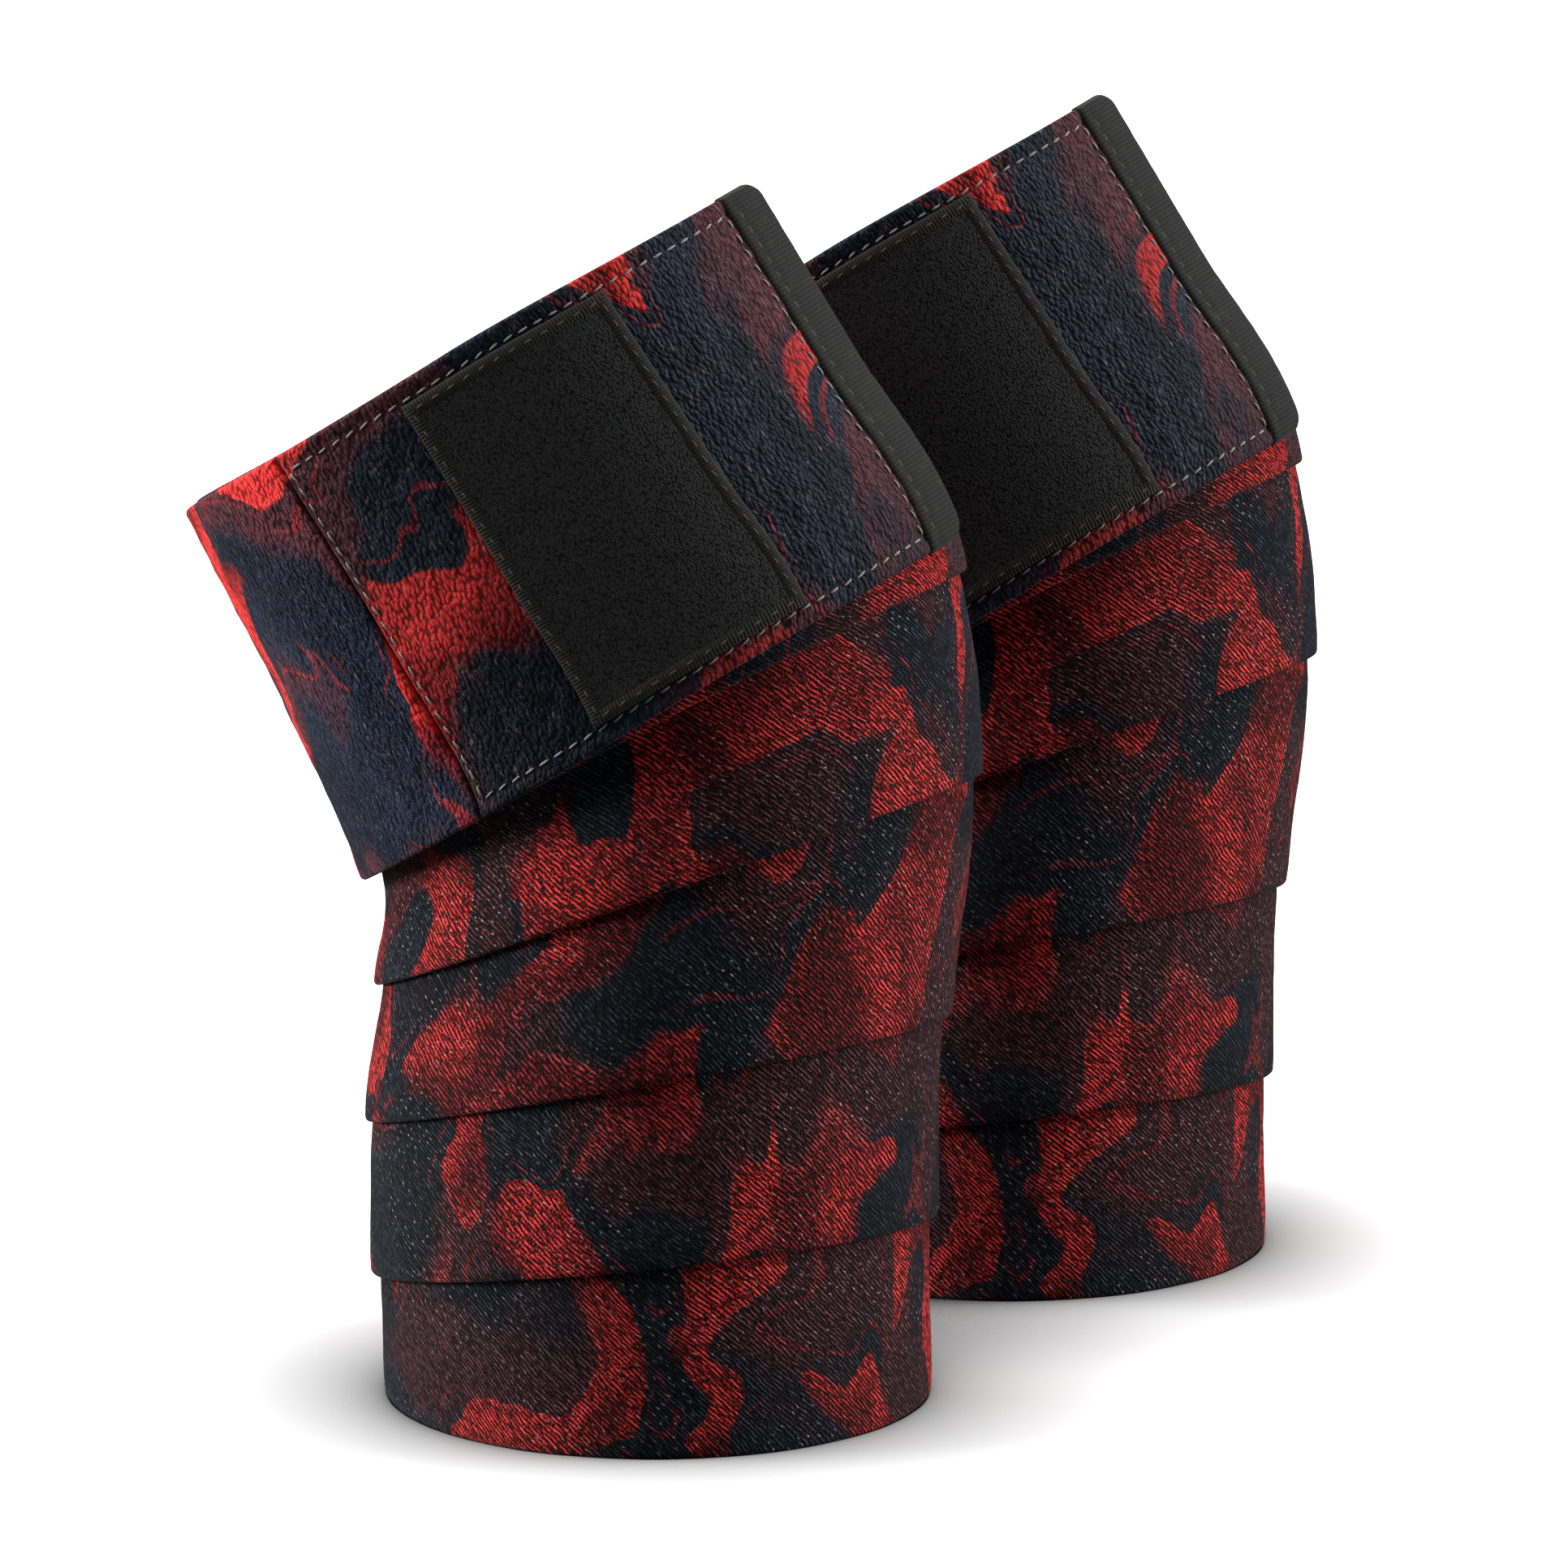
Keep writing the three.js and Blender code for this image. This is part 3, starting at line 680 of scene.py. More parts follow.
class Finish:
    """A material around one Principled shader, on the piece's own cloth coordinates."""

    def __init__(self, name: str, roughness: float, specular: float, sheen: float = 0.0) -> None:
        """Starts the material.

        Args:
            name: the material's name.
            roughness: how matt it is.
            specular: strength of its gloss.
            sheen: strength of the fuzz on it.
        """
        self.material = bpy.data.materials.new(name)
        self.material.use_nodes = True
        tree = self.material.node_tree
        tree.nodes.clear()
        self.n = Nodes(tree)
        values = {"Roughness": roughness, "Specular IOR Level": specular, "Sheen Weight": sheen,
                  "Sheen Roughness": 0.5}
        self.shader = self.n.add("ShaderNodeBsdfPrincipled", values)
        out = self.n.add("ShaderNodeOutputMaterial")
        tree.links.new(self.shader.outputs[0], out.inputs["Surface"])
        self.cloth = self.n.add("ShaderNodeUVMap", uv_map="cloth").outputs[0]

    def use(self, group: bpy.types.NodeTree, **inputs: float) -> bpy.types.Node:
        """Places a shared effect on the cloth coordinates.

        Args:
            group: the effect.
            **inputs: its own values.

        Returns:
            The group's node.
        """
        node = self.n.add("ShaderNodeGroup", {}, node_tree=group)
        self.n.tree.links.new(self.cloth, node.inputs["Cloth"])
        for key, value in inputs.items():
            node.inputs[key].default_value = value
        return node

    def colour(self, socket: Socket) -> None:
        """Sets the base colour."""
        self.n.tree.links.new(socket, self.shader.inputs["Base Color"])

    def bump(self, height: Socket, depth: float, strength: float = 1.0) -> None:
        """Sets the relief, depth in metres."""
        inputs = {"Height": height, "Distance": depth, "Strength": strength}
        node = self.n.add("ShaderNodeBump", inputs)
        self.n.tree.links.new(node.outputs[0], self.shader.inputs["Normal"])


class Finishes:
    """Every material of the wraps."""

    STRIP_REDNESS = 0.014
    TAB_REDNESS = -0.045
    GRAIN_STARTS = 0.16
    GRAIN_FULL = 0.09

    def __init__(self, effects: Effects, strip_length: float) -> None:
        """Makes the materials.

        Args:
            effects: the shared node groups.
            strip_length: metres of strip before the tab.
        """
        self.effects = effects
        self.strip_end = strip_length
        self.elastic = self._printed("Printed elastic", grained_end=True)
        self.facing = self._printed("Grained facing", grained_end=False)
        self.lining = self._plain_knit("Elastic inside", rgb(58, 56, 62))
        self.patch = self._patch()
        self.border = self._tape("Border tape", rgb(46, 45, 42), 0.0007, 0.00018)
        self.binding = self._tape("Binding tape", rgb(31, 31, 30), 0.0009, 0.00026)
        self.hooks = self._pile("Hook tape", rgb(20, 20, 22), 0.0016, 0.5)
        self.loops = self._pile("Loop tape", rgb(22, 22, 26), 0.0008, 0.9)
        self.pale_thread = self._thread("Pale thread", rgb(176, 172, 164))
        self.dark_thread = self._thread("Dark thread", rgb(92, 89, 84))

    def _printed(self, name: str, grained_end: bool) -> bpy.types.Material:
        """The printed cloth, knitted along the strip and grained at the tab.

        Args:
            name: the material's name.
            grained_end: True for the strip, whose end turns from knitted to grained.

        Returns:
            The material.
        """
        finish = Finish(name, 0.6, 0.04 if grained_end else 0.1, 0.1)
        n, e = finish.n, self.effects
        printed = finish.use(e.marble, Redness=self.TAB_REDNESS)
        knit = finish.use(e.knit)
        pebble = finish.use(e.pebble, Size=1.6)
        flecks = finish.use(e.flecks).outputs["Mask"]
        if grained_end:
            along = n.add("ShaderNodeSeparateXYZ", {0: finish.cloth}).outputs[0]
            grained = n.fade(along, self.strip_end - self.GRAIN_STARTS,
                             self.strip_end - self.GRAIN_FULL)
            redness = n.fade(grained, 0, 1, self.STRIP_REDNESS, self.TAB_REDNESS)
            n.tree.links.new(redness, printed.inputs["Redness"])
            height = n.add("ShaderNodeMix", {0: grained, 2: knit.outputs["Height"],
                                             3: pebble.outputs["Height"]})
            relief = height.outputs[0]
            shown = n.math("SUBTRACT", 1, n.math("MULTIPLY", grained, 0.85))
            glint = n.math("MULTIPLY", pebble.outputs["Glints"], n.fade(grained, 0, 1, 0.15, 1))
        else:
            relief, shown, glint = pebble.outputs["Height"], 0.12, pebble.outputs["Glints"]
        # Painted shade and light from the relief: the print is darkened in the hollows of the knit
        # and grain and lightened on their tops.
        painted_relief_shading = n.fade(relief, 0.22, 0.98, 0.03, 2.1 if grained_end else 1.15)
        # Painted glints: faint pale specks are added to the print where a fine noise is high.
        speck = n.noise(n.turned(finish.cloth, (1300, 2600, 1), ROW_SLANT), 1, 2).outputs["Fac"]
        painted_glint_specks = n.fade(speck, 0.54, 0.72, 0, 0.04)
        glint_lifted = n.mix(1, printed.outputs["Color"], painted_glint_specks, "ADD")
        shaded = n.mix(1, glint_lifted, painted_relief_shading, "MULTIPLY")
        # Painted highlight: the knit's crests are mixed towards a brighter copy of the print with
        # a little grey.
        crest_highlights = n.math("MULTIPLY", knit.outputs["Crests"], n.math("MULTIPLY", shown, 0.45))
        crest_highlight_colour = n.mix(1, printed.outputs["Color"], (3.4, 3.4, 3.4, 1), "MULTIPLY")
        ridged = n.mix(crest_highlights, shaded, n.mix(1, crest_highlight_colour, (0.11, 0.11, 0.12, 1), "ADD"))
        # Painted glints: strokes of the grain are mixed towards a pale pink-grey.
        glinting = n.mix(n.math("MULTIPLY", glint, 0.35), ridged, rgb(176, 150, 152))
        floats = n.math("MULTIPLY", flecks, n.math("MULTIPLY", shown, 0.9))
        finish.colour(n.mix(floats, glinting, rgb(232, 208, 204)))
        finish.bump(relief, 0.0005)
        return finish.material

    def _plain_knit(self, name: str, colour: tuple) -> bpy.types.Material:
        """The unprinted side of the elastic.

        Args:
            name: the material's name.
            colour: its colour.

        Returns:
            The material.
        """
        finish = Finish(name, 0.85, 0.15, 0.1)
        knit = finish.use(self.effects.knit).outputs["Height"]
        flecks = finish.use(self.effects.flecks).outputs["Mask"]
        # Painted shade and light from the knit's relief: darker in its hollows, lighter on its
        # ridges.
        painted_relief_shading = finish.n.fade(knit, 0.2, 0.9, 0.5, 1.3)
        shaded = finish.n.mix(1, colour, painted_relief_shading, "MULTIPLY")
        share = finish.n.math("MULTIPLY", flecks, 0.25)
        finish.colour(finish.n.mix(share, shaded, rgb(120, 116, 116)))
        finish.bump(knit, 0.0003)
        return finish.material

    def _patch(self) -> bpy.types.Material:
        """The blank patch: black with a fine pebble grain.

        Returns:
            The material.
        """
        finish = Finish("Patch leather", 0.58, 0.2)
        pebble = finish.use(self.effects.pebble, Size=3.3).outputs["Height"]
        shade = finish.n.fade(pebble, 0.35, 1.1, 0.2, 2.1)
        finish.colour(finish.n.mix(1, rgb(40, 40, 41), shade, "MULTIPLY"))
        finish.bump(pebble, 0.00016)
        return finish.material

    def _tape(self, name: str, colour: tuple, pitch: float, depth: float) -> bpy.types.Material:
        """Woven tape.

        Args:
            name: the material's name.
            colour: its colour.
            pitch: metres from rib to rib.
            depth: metres of relief.

        Returns:
            The material.
        """
        finish = Finish(name, 0.8, 0.2, 0.08)
        ribs = finish.use(self.effects.ribs, Pitch=pitch).outputs["Height"]
        worn = finish.n.noise(finish.n.turned(finish.cloth, (300, 300, 1)), 1, 3).outputs["Fac"]
        shade = finish.n.fade(ribs, 0.2, 1.1, 0.6, 1.35)
        shaded = finish.n.mix(1, colour, shade, "MULTIPLY")
        finish.colour(finish.n.mix(finish.n.fade(worn, 0.55, 0.75, 0, 0.3), shaded,
                                   rgb(72, 70, 66)))
        finish.bump(ribs, depth)
        return finish.material

    def _pile(self, name: str, colour: tuple, pitch: float, fuzz: float) -> bpy.types.Material:
        """Hook or loop tape.

        Args:
            name: the material's name.
            colour: its colour.
            pitch: metres from tuft to tuft.
            fuzz: 0 for even rows, 1 for a loose pile.

        Returns:
            The material.
        """
        finish = Finish(name, 0.9, 0.15, 0.3 * fuzz)
        at = finish.n.turned(finish.cloth, (1 / pitch, 1 / pitch, 1))
        cell = finish.n.add("ShaderNodeTexVoronoi", {"Vector": at, "Scale": 1,
                                                     "Randomness": fuzz},
                            voronoi_dimensions="2D", feature="F1").outputs["Distance"]
        tuft = finish.n.math("SUBTRACT", 1, finish.n.fade(cell, 0.1, 0.6))
        fray = finish.n.noise(at, 2.2, 3).outputs["Fac"]
        height = finish.n.math("ADD", tuft, finish.n.math("MULTIPLY", fray, 0.6))
        shade = finish.n.fade(height, 0.3, 1.4, 0.5, 2.0)
        finish.colour(finish.n.mix(1, colour, shade, "MULTIPLY"))
        finish.bump(height, pitch / 4)
        return finish.material

    def _thread(self, name: str, colour: tuple) -> bpy.types.Material:
        """Twisted sewing thread, whose cloth coordinates run along each stitch.

        Args:
            name: the material's name.
            colour: its colour.

        Returns:
            The material.
        """
        finish = Finish(name, 0.6, 0.35, 0.1)
        ribs = finish.use(self.effects.ribs, Pitch=0.0005).outputs["Height"]
        shade = finish.n.fade(ribs, 0.1, 1.1, 0.55, 1.25)
        finish.colour(finish.n.mix(1, colour, shade, "MULTIPLY"))
        finish.bump(ribs, 0.0001)
        return finish.material


# --- The pieces of a wrap ---------------------------------------------------------------------
class Side(Enum):
    """Which wrap of the pair, with where its calf axis stands in millimetres."""

    FRONT = (-22.1, -66.8)
    REAR = (48.8, 53.2)

    @property
    def label(self) -> str:
        """The side's word in the names of nodes and bodies."""
        return self.name.lower()

    def stand(self, points: np.ndarray) -> np.ndarray:
        """Moves points of a wrap to its place."""
        return points + np.array([*self.value, 0])


def dress(obj: bpy.types.Object, *materials: bpy.types.Material) -> None:
    """Puts materials in an object's slots."""
    for material in materials:
        obj.data.materials.append(material)


@dataclass
class Strip:
    """The printed elastic strip in its six turns, one continuous sheet."""

    side: Side
    step: float = 2.5
    row_step: float = 3.0
    side_round: float = 1.0
    end_round: float = 1.2
    end_thickness: float = 1.5
    end_reach: float = 110
    end_fade: float = 80
    curl: float = 0.35
    curl_height: float = 3.5
    foot: float = 12
    floor_reach: float = 0.12

    def stations(self) -> np.ndarray:
        """Turning angles of the sections, crowded at both ends."""
        return with_soft_ends(WINDING.start, WINDING.root, self.end_round, self.step)

    @staticmethod
    def lengths(turning: np.ndarray) -> np.ndarray:
        """Measures the strip along its middle.

        Args:
            turning: turning angles of the sections.

        Returns:
            Metres from the start to each section.
        """
        half = FORM.climb(turning, WINDING.edge(turning), WINDING.level(turning),
                          np.array([WINDING.width / 2]))[:, 0]
        middle = FORM.off(turning, half, WINDING.level(turning))
        strides = np.linalg.norm(np.diff(middle, axis=0), axis=-1)
        return np.concatenate([[0], np.cumsum(strides)]) * MM

    def build(self, finishes: Finishes) -> bpy.types.Object:
        """Args:
            finishes: the materials.

        Returns:
            The strip.
        """
        turning = self.stations()
        heights = with_soft_ends(0, WINDING.width, self.side_round, self.row_step)
        builder = SheetBuilder(turning, heights, self.side_round)
        sides = np.minimum(builder.y, WINDING.width - builder.y)
        ends = np.minimum(builder.x - turning[0], turning[-1] - builder.x)
        full = edge_round(sides, self.side_round) * edge_round(ends, self.end_round)
        low, level = WINDING.edge(turning), WINDING.level(turning)
        u = FORM.climb(turning, low, level, heights)
        along = self.lengths(turning) / MM
        x = along[:, None] + 0 * heights[None, :]
        near_end = WINDING.ease((builder.x - WINDING.root + self.end_reach) / self.end_fade)
        thick = WINDING.thickness + (self.end_thickness - WINDING.thickness) * near_end
        uneven = 0.16 * ripple(x, builder.y, 23, 1.0) + 0.07 * ripple(x, builder.y, 8.5, 4.0)
        uneven += near_end * 0.16 * ripple(x, builder.y, 6.0, 2.0)
        curl = -self.curl * np.clip(1 - builder.y / self.curl_height, 0, 1) ** 2
        middle = level[:, None] + uneven * full + curl
        outer = FORM.off(builder.x, u, middle + thick / 2 * full)
        inner = FORM.off(builder.x, u, middle - thick / 2 * full)
        at_foot = np.clip(1 - builder.y / self.foot, 0, 1)
        on_floor = np.clip(1 - low / self.floor_reach, 0, 1)[:, None] * at_foot
        drop = outer[:, :1, 2] * on_floor
        outer[..., 2] -= drop
        inner[..., 2] -= drop
        uv = np.stack([x * MM, builder.y * MM], -1)
        name = f"{self.side.label}_strip"
        obj = builder.build(name, self.side.stand(outer), self.side.stand(inner), uv)
        dress(obj, finishes.elastic, finishes.lining)
        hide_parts(*(f"{self.side.label}_turn_{i}" for i in range(1, 7)))
        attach(obj, f"{self.side.label}_wrap")
        LOG.info("%s: %d faces", obj.name, len(obj.data.polygons))
        return obj


@dataclass
class TabPanel:
    """A flat rectangular piece of the tab or of the turn under it."""

    side: Side
    name: str
    start: float
    end: float
    low: float
    high: float
    inner: float
    outer: float
    radius: float = 0.5
    step: float = 2.0
    rough: float = 0.0
    grooves: tuple[float, ...] = ()
    groove_width: float = 0.8
    groove_depth: float = 0.35
    along_offset: float = 0.0

    def build(self, *materials: bpy.types.Material) -> bpy.types.Object:
        """Models the panel.

        Args:
            *materials: the outer face's material and the inner one's.

        Returns:
            The panel.
        """
        a = with_soft_ends(self.start, self.end, self.radius, self.step)
        s = with_soft_ends(self.low, self.high, self.radius, self.step)
        builder = SheetBuilder(a, s, self.radius)
        half = (self.outer - self.inner) / 2
        middle = (self.outer + self.inner) / 2
        wide, narrow = (ripple(builder.x, builder.y, *wave) for wave in ((9, 5), (5, 2)))
        uneven = self.rough * (wide + narrow)
        dent = 0 * builder.y
        for groove in self.grooves:
            dent = dent + np.exp(-(((builder.y - groove) / self.groove_width) ** 2))
        thick = half + uneven * (1 - dent) - self.groove_depth * dent
        outer = CHART.place(builder.x, builder.y, middle + thick * builder.full)
        inner = CHART.place(builder.x, builder.y, middle - half * builder.full)
        uv = np.stack([(builder.x + self.along_offset) * MM, builder.y * MM], -1)
        obj = builder.build(f"{self.side.label}_{self.name}", self.side.stand(outer),
                            self.side.stand(inner), uv)
        dress(obj, *materials)
        return obj


@dataclass
class Seam:
    """A row of stitches along a path of the tab."""

    side: Side
    name: str
    paths: list[list[tuple[float, float]]]
    level: float
    length: float = 2.1
    pitch: float = 3.3
    width: float = 0.48
    lean: float = 0.16
    sink: float = 0.35
    look: float = 0.05
    lifts: tuple[float, ...] = ()
    place: Placer = CHART.place

    @staticmethod
    def one_stitch() -> tuple[np.ndarray, np.ndarray]:
        """Models one stitch.

        Returns:
            The vertices of a thin bead along X, and its faces.
        """
        deselect()
        bpy.ops.mesh.primitive_uv_sphere_add(segments=8, ring_count=6, radius=0.5)
        obj = bpy.context.object
        bpy.ops.object.mode_set(mode="EDIT")
        bpy.ops.mesh.select_all(action="SELECT")
        bpy.ops.transform.rotate(value=math.pi / 2, orient_axis="Y", center_override=(0, 0, 0))
        bpy.ops.object.mode_set(mode="OBJECT")
        points = np.array([v.co[:] for v in obj.data.vertices])
        faces = [tuple(p.vertices) for p in obj.data.polygons]
        faces = np.array([f if len(f) == 4 else (*f, f[2]) for f in faces])
        bpy.data.objects.remove(obj, do_unlink=True)
        points[:, 0] = np.sign(points[:, 0]) * (np.abs(points[:, 0]) * 2) ** 0.8 / 2
        return points, faces

    def stations(self, path: list[tuple[float, float]]) -> list[tuple]:
        """Where the stitches of a path lie.

        Args:
            path: the path's corners, along the tab and up it.

        Returns:
            Each stitch's middle, its direction and its distance along the path.
        """
        corners = np.array(path, float)
        legs = np.linalg.norm(np.diff(corners, axis=0), axis=1)
        travel = np.concatenate([[0], np.cumsum(legs)])
        number = max(1, int(travel[-1] // self.pitch))
        found = []
        for at in (np.arange(number) + 0.5) * travel[-1] / number:
            here, ahead, back = (
                np.array([np.interp(at + step, travel, corners[:, i]) for i in (0, 1)])
                for step in (0, self.look, -self.look))
            found.append((here, (ahead - back) / np.linalg.norm(ahead - back), at))
        return found

    def build(self, material: bpy.types.Material) -> bpy.types.Object:
        """Copies the stitch along every path into one object.

        Args:
            material: the thread.

        Returns:
            The seam.
        """
        bead, faces = self.one_stitch()
        points, quads, uvs = [], [], []
        for which, path in enumerate(self.paths):
            level = self.level + (self.lifts[which] if self.lifts else 0)
            for k, (here, way, at) in enumerate(self.stations(path)):
                side = np.array([-way[1], way[0]])
                size = self.length * (1 + 0.08 * math.sin(5.1 * k))
                slant = self.lean * (1 + 0.6 * math.sin(3.7 * k + at))
                offset = np.outer(bead[:, 0] * size, way + side * slant)
                offset += np.outer(bead[:, 1] * self.width, side)
                sunk = self.sink * self.width * (2 * np.abs(bead[:, 0])) ** 2
                lift = level + bead[:, 2] * self.width - sunk
                chart = here + offset
                quads.append(faces + len(bead) * len(points))
                points.append(self.place(chart[:, 0], chart[:, 1], lift))
                uvs.append(np.stack([bead[:, 0] * size * MM, bead[:, 1] * self.width * MM], -1))
        obj = mesh_object(f"{self.side.label}_{self.name}",
                          self.side.stand(np.concatenate(points)), np.concatenate(quads),
                          np.concatenate(uvs), weld=False)
        dress(obj, material)
        return obj


@dataclass
class Wrap:
    """One wrap of the pair: the strip, the tab and all that is sewn to them."""

    side: Side
    finishes: Finishes
    strip_length: float
    tab_length: float = 119.8
    bend: tuple[float, float] = (0.2, 4.2)
    facing: tuple[float, float] = (3.0, 4.4)
    hook: tuple[float, float] = (1.9, 2.95)
    loop: tuple[float, float] = (0.62, 1.7)
    patch_start: float = 28.8
    patch_length: float = 45
    patch_inset: float = 4.2
    border_width: float = 3
    seam_inset: float = 3.5
    seam_start: float = 2.1
    binding_width: float = 14
    binding_reach: float = 0.9
    binding_overhang: float = 0.3
    binding_half: float = 1.45
    binding_corner: float = 5.0
    binding_round: float = 1.3
    binding_row: float = 3
    row_dent: float = 0.3
    row_width: float = 0.7
    hem_turn: float = 15
    hem_inset: float = 1
    hem_half: float = 0.5
    hem_depth: float = 1.15
    tape_step: float = 3.0
    loop_limits: tuple[float, float, float, float] = (6, 101, 9, 72)
    hook_limits: tuple[float, float, float, float] = (4, 103.5, 2.5, 77.5)

    def body(self, part: str) -> str:
        """Hides the CAD node that a piece stands for and parents the piece to the body it rides
        on.
        """
        return f"{self.side.label}_{part}"

    def attach(self, obj: bpy.types.Object, node: str, part: str) -> None:
        """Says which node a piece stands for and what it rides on.

        Args:
            obj: the piece.
            node: the CAD node it stands for, without the wrap's name.
            part: the body it rides on, without the wrap's name.
        """
        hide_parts(f"{self.side.label}_{node}")
        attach(obj, self.body(part))
        LOG.info("%s: %d faces", obj.name, len(obj.data.polygons))

    def bend_with_tab(self, obj: bpy.types.Object, node: str) -> None:
        """Hides the CAD node that a piece stands for and bakes the piece's transform into its
        mesh. It works out where the tab's first millimetres lie but does not bend the piece.

        Args:
            obj: the piece.
            node: the CAD node it stands for, without the wrap's name.
        """
        reach = (CHART.place(a, WINDING.width / 2, self.facing[1]) for a in self.bend)
        start, end = (tuple(self.side.stand(p) * MM) for p in reach)
        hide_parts(f"{self.side.label}_{node}")
        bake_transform(obj)
        LOG.info("%s: %d faces", obj.name, len(obj.data.polygons))

    def panel(self, name: str, limits: tuple[float, float, float, float],
              levels: tuple[float, float], **more) -> TabPanel:
        """Sets out a panel of the tab.

        Args:
            name: the piece's name, without the wrap's.
            limits: where it starts and ends along the tab and up it.
            levels: its inner and outer face's distance from the wound strip.
            **more: other fields of the panel.

        Returns:
            The panel, not yet built.
        """
        return TabPanel(self.side, name, *limits, *levels, **more)

    @staticmethod
    def flat(limits: tuple[float, float, float, float]) -> tuple[float, float]:
        """A panel's width and length in metres, from its limits along and up."""
        start, end, low, high = limits
        return (high - low) * MM, (end - start) * MM

    def build(self) -> None:
        """Models and dresses every piece."""
        f = self.finishes
        strip = Strip(self.side).build(f)
        loop = self.panel("loop_pile", self.loop_limits, self.loop, step=self.tape_step)
        loop_piece = loop.build(f.loops, f.loops)
        self.attach(loop_piece, "loop_panel", "wrap")
        hem_seam = self.hem()
        self.build_tab()

    def hem(self) -> bpy.types.Object:
        """Models the folded start of the strip, inside the foot of the wrap.

        Returns:
            The seam that holds it.
        """
        turning = with_soft_ends(WINDING.start, WINDING.start + self.hem_turn, 1.0, 1.2)
        heights = with_soft_ends(self.hem_inset, WINDING.width - self.hem_inset, 1.0, 2.5)
        level = WINDING.layer(turning) - self.hem_depth
        builder = SheetBuilder(turning, heights, 1.0)
        u = FORM.climb(turning, WINDING.edge(turning), level, heights)
        outer = FORM.off(builder.x, u, level[:, None] + self.hem_half * builder.full)
        inner = FORM.off(builder.x, u, level[:, None] - self.hem_half * builder.full)
        along = np.radians(builder.x - WINDING.start) * 52
        uv = np.stack([along * MM, builder.y * MM], -1)
        hem = builder.build(f"{self.side.label}_folded_start", self.side.stand(outer),
                            self.side.stand(inner), uv)
        dress(hem, self.finishes.lining, self.finishes.lining)
        self.attach(hem, "start_hem", "wrap")

        def place(a: np.ndarray, s: np.ndarray, d: np.ndarray) -> np.ndarray:
            """Points of the hem's inner face, a across it and s up it."""
            angle = np.full_like(s, WINDING.start + self.hem_turn / 2)
            rows = np.linspace(0, WINDING.width, 41)
            climbs = FORM.climb(angle, WINDING.edge(angle), angle * 0 - 1.7, rows)
            face = WINDING.layer(angle) - self.hem_depth - self.hem_half
            return FORM.off(angle + a, np.interp(s, rows, climbs[0]), face - d)

        seam = Seam(self.side, "start_seam", [[(0, 4), (0, 76)]], 0.0, place=place)
        seam_piece = seam.build(self.finishes.dark_thread)
        self.attach(seam_piece, "hem_stitching", "wrap")
        return seam_piece

    def build_tab(self) -> None:
        """The facing and what is sewn on and under it."""
        f, end, width = self.finishes, self.tab_length, WINDING.width
        seam_low, seam_high = self.seam_inset, width - self.seam_inset
        facing = self.panel("facing", (0.4, end - 5, 0, width), self.facing, radius=0.9,
                            step=1.25, rough=0.13, grooves=(seam_low, seam_high),
                            along_offset=self.strip_length / MM)
        facing_piece = facing.build(f.facing, f.lining)
        hook = self.panel("hook_pile", self.hook_limits, self.hook, step=self.tape_step)
        hook_piece = hook.build(f.hooks, f.hooks)
        stop = self.patch_start + self.patch_length
        low, high = self.patch_inset, width - self.patch_inset
        patch = self.panel("blank_patch", (self.patch_start + 1, stop - 1, low + 1, high - 1),
                           (self.facing[1] - 0.2, self.facing[1] + 0.75), rough=0.04)
        patch_piece = patch.build(f.patch, f.patch)
        border_piece = self.border(self.patch_start, stop, low, high)
        binding_piece = self.bind()
        pieces = {
            "tab_facing": (facing_piece, "tab_facing"),
            "hook_panel": (hook_piece, "hook_tape"),
            "patch": (patch_piece, "patch"),
            "patch_border": (border_piece, "patch_border"),
            "end_binding": (binding_piece, "binding_tape"),
        }
        for node, (piece, slot) in pieces.items():
            if node != "tab_facing":
                self.attach(piece, node, "tab")
        self.bend_with_tab(facing_piece, "tab_facing")
        seams = self.seams()

    def border(self, start: float, stop: float, low: float, high: float) -> bpy.types.Object:
        """The narrow tape round the patch, with mitred corners.

        Args:
            start: the frame's start along the tab.
            stop: its end.
            low: its lower edge.
            high: its upper edge.

        Returns:
            The tape.
        """
        half = self.border_width / 2
        corners = [(start + half, low + half), (stop - half, low + half),
                   (stop - half, high - half), (start + half, high - half)]
        base, rise = self.facing[1] - 0.25, 1.05
        profile = [(-half, 0.0), (-half, 0.75), (-half + 0.35, 1.0), (0, 1.08),
                   (half - 0.35, 1.0), (half, 0.75), (half, 0.0)]
        points, uvs = [], []
        travelled = 0.0
        for k, here in enumerate(corners):
            ahead = corners[(k + 1) % 4]
            leg = math.dist(here, ahead)
            way = np.subtract(ahead, here) / leg
            left = np.array([-way[1], way[0]])
            for t in np.linspace(0, leg, max(2, round(leg / 1.5)) + 1):
                for side, lift in profile:
                    if 0 < t < leg:
                        mitre = np.clip(t, side, leg - side)
                    else:
                        mitre = t + (side if t == 0 else -side)
                    a, s = np.asarray(here) + way * mitre + left * side
                    points.append((a, s, base + lift * rise))
                    uvs.append(((travelled + mitre) * MM, side * MM))
            travelled += leg
        chart = np.array(points)
        rows = len(chart) // len(profile)
        index = np.arange(len(chart)).reshape(rows, len(profile))
        ahead = np.roll(index, -1, axis=0)
        quads = np.stack([index, np.roll(index, -1, 1), np.roll(ahead, -1, 1), ahead], -1)
        placed = CHART.place(chart[:, 0], chart[:, 1], chart[:, 2])
        obj = mesh_object(f"{self.side.label}_patch_tape", self.side.stand(placed),
                          quads.reshape(-1, 4), np.array(uvs))
        dress(obj, self.finishes.border)
        return obj

